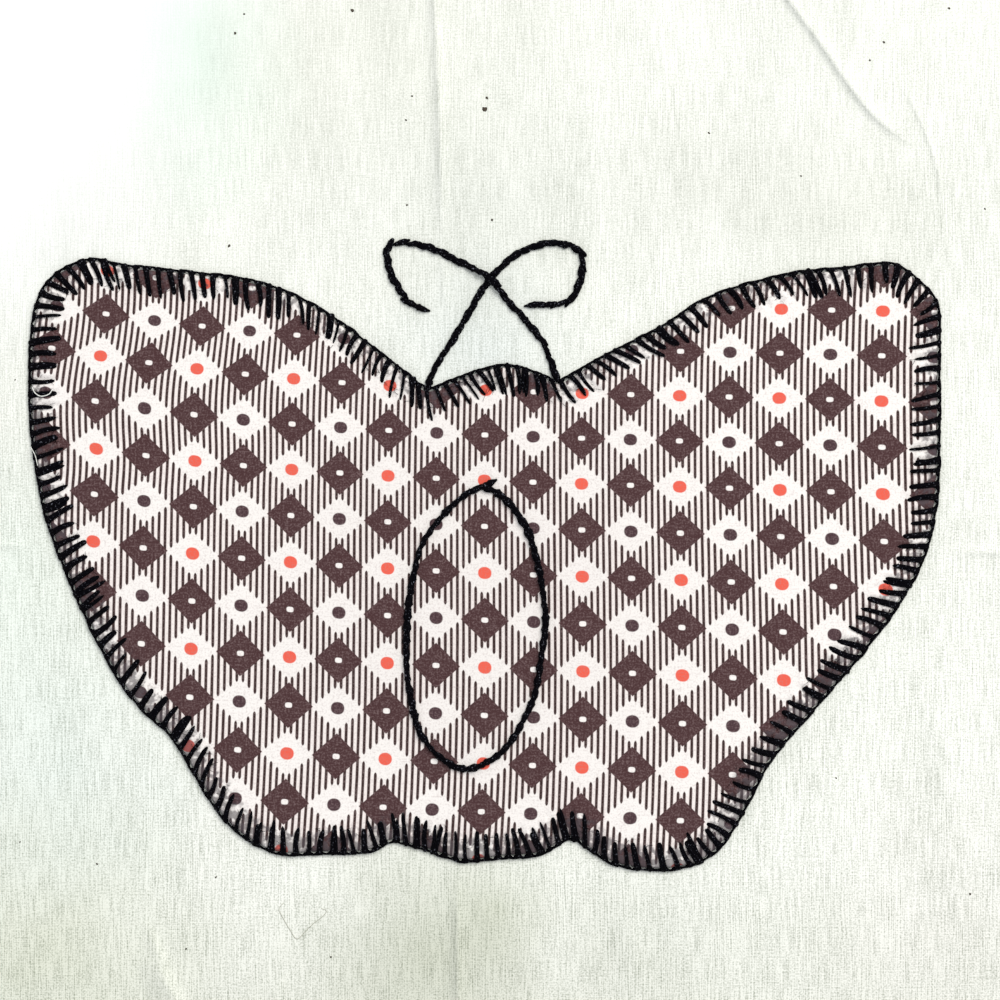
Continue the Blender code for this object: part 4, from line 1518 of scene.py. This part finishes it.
@dataclass
class BlanketStitch:
    """The black floss that holds the butterfly down: a purl round its edge and a leg at each stitch."""

    edge: Edge
    leg_length: float = 5.3
    length_spread: float = 0.5
    spacing_spread: float = 0.12
    leg_width: float = 1.02
    leg_height: float = 0.7
    purl_width: float = 0.7
    link_bows: Row = (0.24, 0.36, 0.14)
    doubled_share: float = 0.12
    loose_fibres: int = 1200
    seed: int = 12

    def __post_init__(self) -> None:
        """Work out where each stitch stands, by the same draws as its solid."""
        rng = random.Random(self.seed)
        gaps: list[float] = []
        place = 0.0
        while place < self.edge.length:
            spacing = self.edge.at([place])[0][3]
            gaps.append(spacing * rng.uniform(1.0 - self.spacing_spread, 1.0 + self.spacing_spread))
            place += gaps[-1]
        self.places = np.cumsum(gaps) * self.edge.length / sum(gaps)
        spread = self.length_spread
        self.lengths = np.array([self.leg_length + rng.uniform(-spread, spread) for _ in self.places])
        rows = self.edge.at(self.places)
        self.roots, self.headings = rows[:, :2], np.radians(rows[:, 2])
        ahead = np.column_stack([np.cos(self.headings), np.sin(self.headings)])
        self.tips = self.roots + ahead * self.lengths[:, None]

    def legs(self) -> np.ndarray:
        """Rows of each leg's root and tip."""
        return np.column_stack([self.roots, self.tips])

    def leg_template(self, shape: LegShape) -> bpy.types.Mesh:
        """One leg: up out of the purl, over the turned edge, along the print, and down into it.

        Args:
            shape: how it lies.

        Returns:
            Its mesh, with its root at the origin and its tip along X.
        """
        bend, full, tip = shape.value
        rng = random.Random(shape.name)
        along = np.array([-0.3, 0.2, 0.75, 1.4, 2.4, 3.4, 4.4, 5.0, 5.35])
        top = PRINT_TOP - MUSLIN_TOP
        rise = np.array([0.35, 0.85, top + 0.2, top + 0.3, top + 0.26, top + 0.22, top + 0.16, top, top - 0.25])
        sway = bend * np.sin(np.pi * np.clip(along / self.leg_length, 0.0, 1.0))
        uneven = np.array([rng.uniform(0.93, 1.07) for _ in along])
        shares = np.array([0.95, 1.2, 1.15, 1.08, 1.04, 1.0, 0.92, 0.5 + tip / 2, tip])
        widths = self.leg_width * full * uneven * shares
        heights = self.leg_height * full * np.array([0.9, 1.0, 1.0, 1.0, 1.05, 1.0, 0.95, 0.85, 0.6])
        return thread_mesh(f"leg_{shape.name.lower()}", np.column_stack([along, sway, rise]), widths, heights)

    def purl_template(self, number: int) -> bpy.types.Mesh:
        """One link of the purl, a unit long: thick where it loops round a leg, thin and bowed outwards between.

        Args:
            number: which of the links, each a little different.

        Returns:
            Its mesh, along X.
        """
        t = np.array([-0.2, -0.05, 0.12, 0.32, 0.55, 0.78, 0.97, 1.14])
        bow = self.link_bows[number] * np.sin(np.pi * np.clip(t, 0.0, 1.0))
        line = np.column_stack([t, bow, 0.5 + 0.14 * np.sin(np.pi * t)])
        widths = self.purl_width * np.array([0.7, 1.3, 1.2, 0.8, 0.66, 0.76, 1.05, 0.65])
        return thread_mesh(f"purl_{number}", line, widths, widths * 1.05)

    @staticmethod
    def fibre_template(number: int) -> bpy.types.Mesh:
        """One loose fibre of the floss, a unit long along X, curled its own way."""
        rng = random.Random(number)
        t = np.linspace(0.0, 1.0, 4)
        curl, wave = rng.uniform(-0.35, 0.35), rng.uniform(-0.12, 0.12)
        line = np.column_stack([t, curl * t**2 + wave * np.sin(5.0 * t), 0.05 * np.sin(4.0 * t)])
        widths = np.array([0.09, 0.085, 0.07, 0.05])
        return thread_mesh(f"fibre_{number}", line, widths, widths, sides=4)

    def build(self, tree: StitchTree) -> bpy.types.Object:
        """The legs, the purl and the loose fibres, as one piece.

        Args:
            tree: the tree that sets templates on points.

        Returns:
            The piece.
        """
        rng = np.random.default_rng(self.seed)
        count = len(self.places)
        shapes = list(LegShape)
        meshes = [self.leg_template(shape) for shape in shapes]
        meshes += [self.purl_template(number) for number in range(3)]
        meshes += [self.fibre_template(number) for number in range(4)]
        stitches = template_set("stitch_templates", meshes)

        doubled = np.flatnonzero(rng.random(count) < self.doubled_share)
        owners = np.concatenate([np.arange(count), doubled])
        beside = np.concatenate([np.zeros(count), rng.choice((-0.55, 0.55), len(doubled))])
        aside = np.column_stack([-np.sin(self.headings[owners]), np.cos(self.headings[owners])])
        headings = self.headings[owners] + rng.normal(0.0, 0.06, len(owners))
        lengths = self.lengths[owners] * rng.uniform(0.82, 1.12, len(owners)) / self.leg_length
        crowding = np.interp(self.edge.at(self.places[owners])[:, 3], (1.9, 2.7), (0.8, 1.04))
        gauges = rng.uniform(0.8, 1.16, len(owners)) * crowding
        leg_rows = (self.roots[owners] + aside * beside[:, None], headings, lengths, gauges)
        leg_kinds = rng.integers(0, len(shapes), len(owners))

        run = np.roll(self.roots, -1, axis=0) - self.roots
        purl_rows = (self.roots, np.arctan2(run[:, 1], run[:, 0]), np.hypot(*run.T), rng.uniform(0.85, 1.15, count))
        purl_kinds = rng.integers(len(shapes), len(shapes) + 3, count)

        picked = rng.integers(0, count, self.loose_fibres)
        way = 0.1 + 0.9 * rng.random(self.loose_fibres)
        starts = self.roots[picked] + (self.tips - self.roots)[picked] * way[:, None] * 0.95
        sizes = rng.uniform(0.5, 1.5, self.loose_fibres)
        fibre_rows = (starts, rng.uniform(0.0, math.tau, self.loose_fibres), sizes, np.ones(self.loose_fibres))
        fibre_kinds = rng.integers(len(shapes) + 3, len(shapes) + 7, self.loose_fibres)
        rise = np.interp(way, (0.0, 0.12, 0.25, 1.0), (0.5, 1.1, 1.5, 1.3))

        heights = np.concatenate([np.zeros(len(owners) + count), rise]) + MUSLIN_TOP
        plan, turn, along, gauge = (np.concatenate(parts) for parts in zip(leg_rows, purl_rows, fibre_rows))
        none = np.zeros(len(turn))
        piece = tree.make(
            "blanket_stitches",
            point_cloud(
                "stitch_points",
                np.column_stack([plan, heights]),
                np.column_stack([none, none, turn]),
                np.column_stack([along, gauge, np.ones(len(turn))]),
                np.concatenate([leg_kinds, purl_kinds, fibre_kinds]),
            ),
            templates=stitches,
            finish=BLACK_FLOSS.material(),
            unevenness=(0.0, 0.08, 0.03),
            seed=self.seed,
        )
        clear_templates(stitches)
        return piece


@dataclass
class StemStitchLine:
    """A line of stem stitch: slanting stitches, each beginning partway along the one before."""

    name: str
    path: np.ndarray
    spacing: float = 2.5
    stitch_length: float = 4.0
    gauge: float = 1.12
    slant: float = 0.17
    seed: int = 5

    def templates(self) -> bpy.types.Collection:
        """Four stitches, each a little different, along X about the origin."""
        rng = np.random.default_rng(self.seed)
        meshes = []
        for number in range(4):
            t = np.linspace(-0.5, 0.5, 9)
            sway = rng.uniform(-0.14, 0.14) * np.sin(t * math.tau * rng.uniform(0.6, 1.2))
            line = np.column_stack([t * self.stitch_length, sway, 0.16 * np.cos(t * math.pi)])
            widths = self.gauge * np.array([0.42, 0.7, 0.98, 1.16, 1.2, 1.08, 0.86, 0.58, 0.36])
            widths *= rng.uniform(0.82, 1.18, len(t))
            meshes.append(thread_mesh(f"{self.name}_{number}", line, widths, widths * 0.86))
        return template_set(f"{self.name}_templates", meshes)

    def build(self, tree: StitchTree) -> bpy.types.Object:
        """The line of stitches.

        Args:
            tree: the tree that spaces templates along a curve.

        Returns:
            The piece.
        """
        curve = bpy.data.curves.new(f"{self.name}_path", "CURVE")
        curve.dimensions = "3D"
        spline = curve.splines.new("POLY")
        spline.points.add(len(self.path) - 1)
        for point, spot in zip(spline.points, self.path):
            point.co = (*(spot * MM), 1.0)
        source = bpy.data.objects.new(f"{self.name}_path", curve)
        bpy.context.scene.collection.objects.link(source)
        stitches = self.templates()
        piece = tree.make(
            self.name,
            source,
            templates=stitches,
            finish=BLACK_FLOSS.material(),
            unevenness=(0.15, 0.22, 0.08),
            seed=self.seed,
            spacing=self.spacing * MM,
            slant=self.slant,
        )
        clear_templates(stitches)
        return piece


@dataclass
class BodyAndAntennae:
    """The paths of the two antennae and of the body's oval."""

    muslin: MuslinSquare
    applique: ButterflyApplique
    rise_over: float = 0.65
    crossing_half_length: float = 4.5
    thread_middle: float = 0.36
    # The stitches at the two ends of a line reach this far past its path
    end_reach: float = 1.0

    def trimmed(self, points: Sequence[Row], at_start: float, at_end: float) -> np.ndarray:
        """The smooth curve through the points, cut back by these lengths at its ends."""
        path = spaced(smooth_curve(points), 0.35)
        along = lengths_along(path)
        return path[(along >= at_start) & (along <= along[-1] - at_end)][::2]

    def antenna(self, points: tuple[Row, ...], over: bool) -> np.ndarray:
        """The middle line of an antenna's stitches.

        Args:
            points: its points seen from above.
            over: whether it is the one that crosses over the other.

        Returns:
            Rows of x, y and z.
        """
        path = self.trimmed(points, 0.6, self.end_reach)
        height = self.muslin.top(path) + self.thread_middle
        if over:
            reach = np.clip(1.0 - np.hypot(*(path - np.array(CROSSING)).T) / self.crossing_half_length, 0.0, 1.0)
            level = np.minimum(1.0, 2.0 * reach)
            height += self.rise_over * 0.5 * (1.0 - np.cos(math.pi * level))
        return np.column_stack([path, height])

    def oval(self) -> np.ndarray:
        """The middle line of the body's outline, from its top round and past its start again."""
        plan = self.trimmed((*BODY_OVAL, OVAL_LAST), self.end_reach, self.end_reach)
        return np.column_stack([plan, self.applique.top(plan) + self.thread_middle])


class Fleck(NamedTuple):
    """A dark fleck of cotton seed in the muslin: its place and its size."""

    x: float
    y: float
    size: float


FLECKS = (
    Fleck(-19.5, 107.8, 0.8), Fleck(-7.5, 90.6, 0.6), Fleck(-8.7, 85.8, 0.5), Fleck(-8.5, 68.8, 0.5),
    Fleck(7.1, 88.0, 1.3), Fleck(7.5, 90.2, 0.7), Fleck(8.5, 65.8, 0.7), Fleck(-44.1, 60.6, 0.7),
    Fleck(-42.9, 103.2, 0.7), Fleck(-41.1, 107.0, 0.5), Fleck(51.9, 83.2, 0.6), Fleck(70.3, 74.6, 0.5),
    Fleck(86.9, 101.4, 0.6), Fleck(84.1, 97.8, 0.5), Fleck(99.9, 108.2, 0.6), Fleck(107.1, 68.0, 0.5),
    Fleck(77.3, -45.8, 0.5), Fleck(104.1, -69.0, 0.6), Fleck(-52.7, -80.0, 0.5), Fleck(-23.7, -81.6, 0.5),
    Fleck(-85.9, -58.6, 0.5), Fleck(-70.5, -63.0, 0.5), Fleck(-46.7, -65.6, 0.5), Fleck(-86.9, 33.8, 0.4),
)


class Hair(NamedTuple):
    """A stray hair or thread end that lies on the cloth: its line, what it rests on, and its width."""

    points: tuple[Row, ...]
    height: float
    width: float
    is_thread: bool


HAIRS = (
    Hair(
        (
            (-33.2, -70.8), (-34.1, -72.0), (-33.3, -73.8), (-31.9, -76.2), (-30.5, -78.0),
            (-28.9, -76.6), (-27.3, -75.0), (-25.5, -73.6), (-24.6, -72.4), (-25.6, -71.9),
        ),
        MUSLIN_TOP, 0.11, False,
    ),
    Hair(((-83.2, 32.3), (-82.7, 31.2), (-81.5, 30.5), (-79.9, 30.9), (-79.2, 31.9)), PRINT_TOP + 0.85, 0.2, True),
    Hair(((-83.6, 20.4), (-82.7, 18.7), (-82.2, 16.7)), PRINT_TOP + 0.4, 0.16, True),
)


@dataclass
class SurfaceLint:
    """Flecks of seed in the muslin, and the stray hairs and thread ends that lie on the cloth."""

    muslin: MuslinSquare
    seed: int = 4

    def flecks(self, tree: StitchTree) -> bpy.types.Object:
        """The flecks, sunk halfway into the weave.

        Args:
            tree: the tree that sets templates on points.

        Returns:
            The piece.
        """
        rng = np.random.default_rng(self.seed)
        line = np.array([(-0.4, 0.0, 0.0), (-0.15, 0.05, 0.0), (0.15, -0.05, 0.0), (0.4, 0.0, 0.0)])
        meshes = [
            thread_mesh(f"fleck_{i}", line, np.array(widths), np.full(4, 0.12), sides=6)
            for i, widths in enumerate(((0.3, 0.7, 0.6, 0.25), (0.2, 0.5, 0.8, 0.4)))
        ]
        shapes = template_set("fleck_templates", meshes)
        rows = np.array(FLECKS)
        plan = rows[:, :2]
        count = len(rows)
        cloud = point_cloud(
            "fleck_points",
            np.column_stack([plan, self.muslin.top(plan) + 0.02]),
            np.column_stack([np.zeros((count, 2)), rng.uniform(0.0, math.tau, count)]),
            np.column_stack([rows[:, 2], rows[:, 2], np.ones(count)]),
            rng.integers(0, 2, count),
        )
        piece = tree.make(
            "seed_flecks",
            cloud,
            templates=shapes,
            finish=SEED_TRASH.material(),
            unevenness=(0.15, 0.15, 0.0),
            seed=self.seed,
        )
        clear_templates(shapes)
        return piece

    @staticmethod
    def hair(number: int, hair: Hair, finish: bpy.types.Material) -> bpy.types.Object:
        """One stray hair or thread end.

        Args:
            number: its number.
            hair: its line and size.
            finish: its material.

        Returns:
            The piece.
        """
        plan = spaced(smooth_curve(hair.points), 0.3)
        line = np.column_stack([plan, np.full(len(plan), hair.height + hair.width * 0.5)])
        widths = np.full(len(plan), hair.width)
        obj = add_object(f"stray_hair_{number}", thread_mesh(f"stray_hair_{number}", line, widths, widths, sides=5))
        obj.data.materials.append(finish)
        return obj


@dataclass
class Studio:
    """The pale table, the soft light from the upper right, and the camera straight above."""

    view_middle: Row = (10.1, 9.8)
    view_width: float = 200.0
    camera_height: float = 800.0
    key_place: Row = (0.62, 0.78, 1.35)
    key_size: float = 1.2
    key_strength: float = 22.6
    fill_strength: float = 0.72

    def floor(self) -> bpy.types.Object:
        """The table's top, just under the cloth."""
        half = 1500.0
        corners = np.array([(-half, -half, 0.0), (half, -half, 0.0), (half, half, 0.0), (-half, half, 0.0)])
        obj = add_object("table_top", mesh_from("table_top", corners, [(0, 1, 2, 3)]))
        material, tree, shader = new_material("matt_white_laminate")
        place = add_node(tree, "ShaderNodeTexCoord").outputs["Object"]
        noise = add_node(tree, "ShaderNodeTexNoise", {"Vector": place, "Scale": 6.0, "Detail": 2.0}).outputs[0]
        colour = add_node(
            tree, "ShaderNodeMix", {0: noise, 6: linear("#DEDCD8"), 7: linear("#E6E4E0")}, data_type="RGBA"
        )
        tree.links.new(colour.outputs[2], shader.inputs["Base Color"])
        shader.inputs["Roughness"].default_value = 0.7
        obj.data.materials.append(material)
        return obj

    def light(self) -> None:
        """A broad key light and an even surround."""
        scene = bpy.context.scene
        world = bpy.data.worlds.new("soft_surround")
        world.use_nodes = True
        background = world.node_tree.nodes["Background"]
        background.inputs["Color"].default_value = linear("#F6F9FF")
        background.inputs["Strength"].default_value = self.fill_strength
        scene.world = world
        scene.view_settings.view_transform = "Standard"
        lamp = bpy.data.lights.new("key_light", "AREA")
        lamp.shape = "DISK"
        lamp.size = self.key_size
        lamp.energy = self.key_strength
        lamp.color = linear("#FFFDF8")[:3]
        key = bpy.data.objects.new("key_light", lamp)
        scene.collection.objects.link(key)
        key.location = self.key_place
        aim = np.array([0.01, 0.01, 0.0]) - np.array(key.location)
        yaw = math.atan2(aim[1], aim[0])
        pitch = math.atan2(math.hypot(aim[0], aim[1]), -aim[2])
        key.rotation_euler = (pitch, 0.0, yaw - math.pi / 2)

    def camera(self) -> None:
        """The camera straight above, framing the middle of the square."""
        data = bpy.data.cameras.new("camera")
        data.sensor_width = 36.0
        data.lens = data.sensor_width * (self.camera_height - MUSLIN_TOP) / self.view_width
        data.clip_end = 20.0
        camera = bpy.data.objects.new("camera", data)
        bpy.context.scene.collection.objects.link(camera)
        camera.location = (self.view_middle[0] * MM, self.view_middle[1] * MM, self.camera_height * MM)
        bpy.context.scene.camera = camera


def place_piece(piece: bpy.types.Object, slot: str, *nodes: str) -> None:
    """Let the piece ride on the frame and stand for its solids.

    Args:
        piece: the finished piece.
        slot: the record's material slot, or nothing. Not used.
        nodes: the solids that it replaces.
    """
    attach(piece, "root")
    if nodes:
        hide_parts(*nodes)
    LOG.info("%s: %d faces", piece.name, len(piece.data.polygons))


def main() -> None:
    """Build the square from the muslin up, then the table, the light and the camera."""
    logging.basicConfig(level=logging.INFO, format="%(name)s %(message)s")
    on_points = StitchTree("stitches_on_points", follows_path=False)
    on_path = StitchTree("stitches_on_a_path", follows_path=True)

    muslin = MuslinSquare()
    cloth = muslin.build()
    place_piece(cloth, "muslin", "ground_square")
    fringe = RawEdgeFringe(muslin).build(on_points)
    place_piece(fringe, "muslin")

    edge = Edge((HEAD, RIGHT_WINGS, TAIL, LEFT_WINGS))
    stitching = BlanketStitch(edge)
    applique = ButterflyApplique(edge)
    butterfly = applique.build(stitching.legs(), stitching.places)
    place_piece(butterfly, "printed_cotton", "butterfly_applique")
    place_piece(stitching.build(on_points), "black_floss", "blanket_stitch_edge")

    lines = BodyAndAntennae(muslin, applique)
    for stem in (
        StemStitchLine("antenna_left_stitches", lines.antenna(ANTENNA_LEFT, over=False), seed=5),
        StemStitchLine("antenna_right_stitches", lines.antenna(ANTENNA_RIGHT, over=True), seed=6),
        StemStitchLine("body_oval_stitches", lines.oval(), gauge=1.2, slant=0.12, seed=7),
    ):
        place_piece(stem.build(on_path), "black_floss", stem.name.removesuffix("_stitches"))

    lint = SurfaceLint(muslin)
    place_piece(lint.flecks(on_points), "")
    hair_finish, thread_finish = GREY_HAIR.material(), MUSLIN_YARN.material()
    for number, hair in enumerate(HAIRS):
        place_piece(lint.hair(number, hair, thread_finish if hair.is_thread else hair_finish), "")

    studio = Studio()
    studio.floor()
    studio.light()
    studio.camera()


if __name__ == "__main__":
    main()
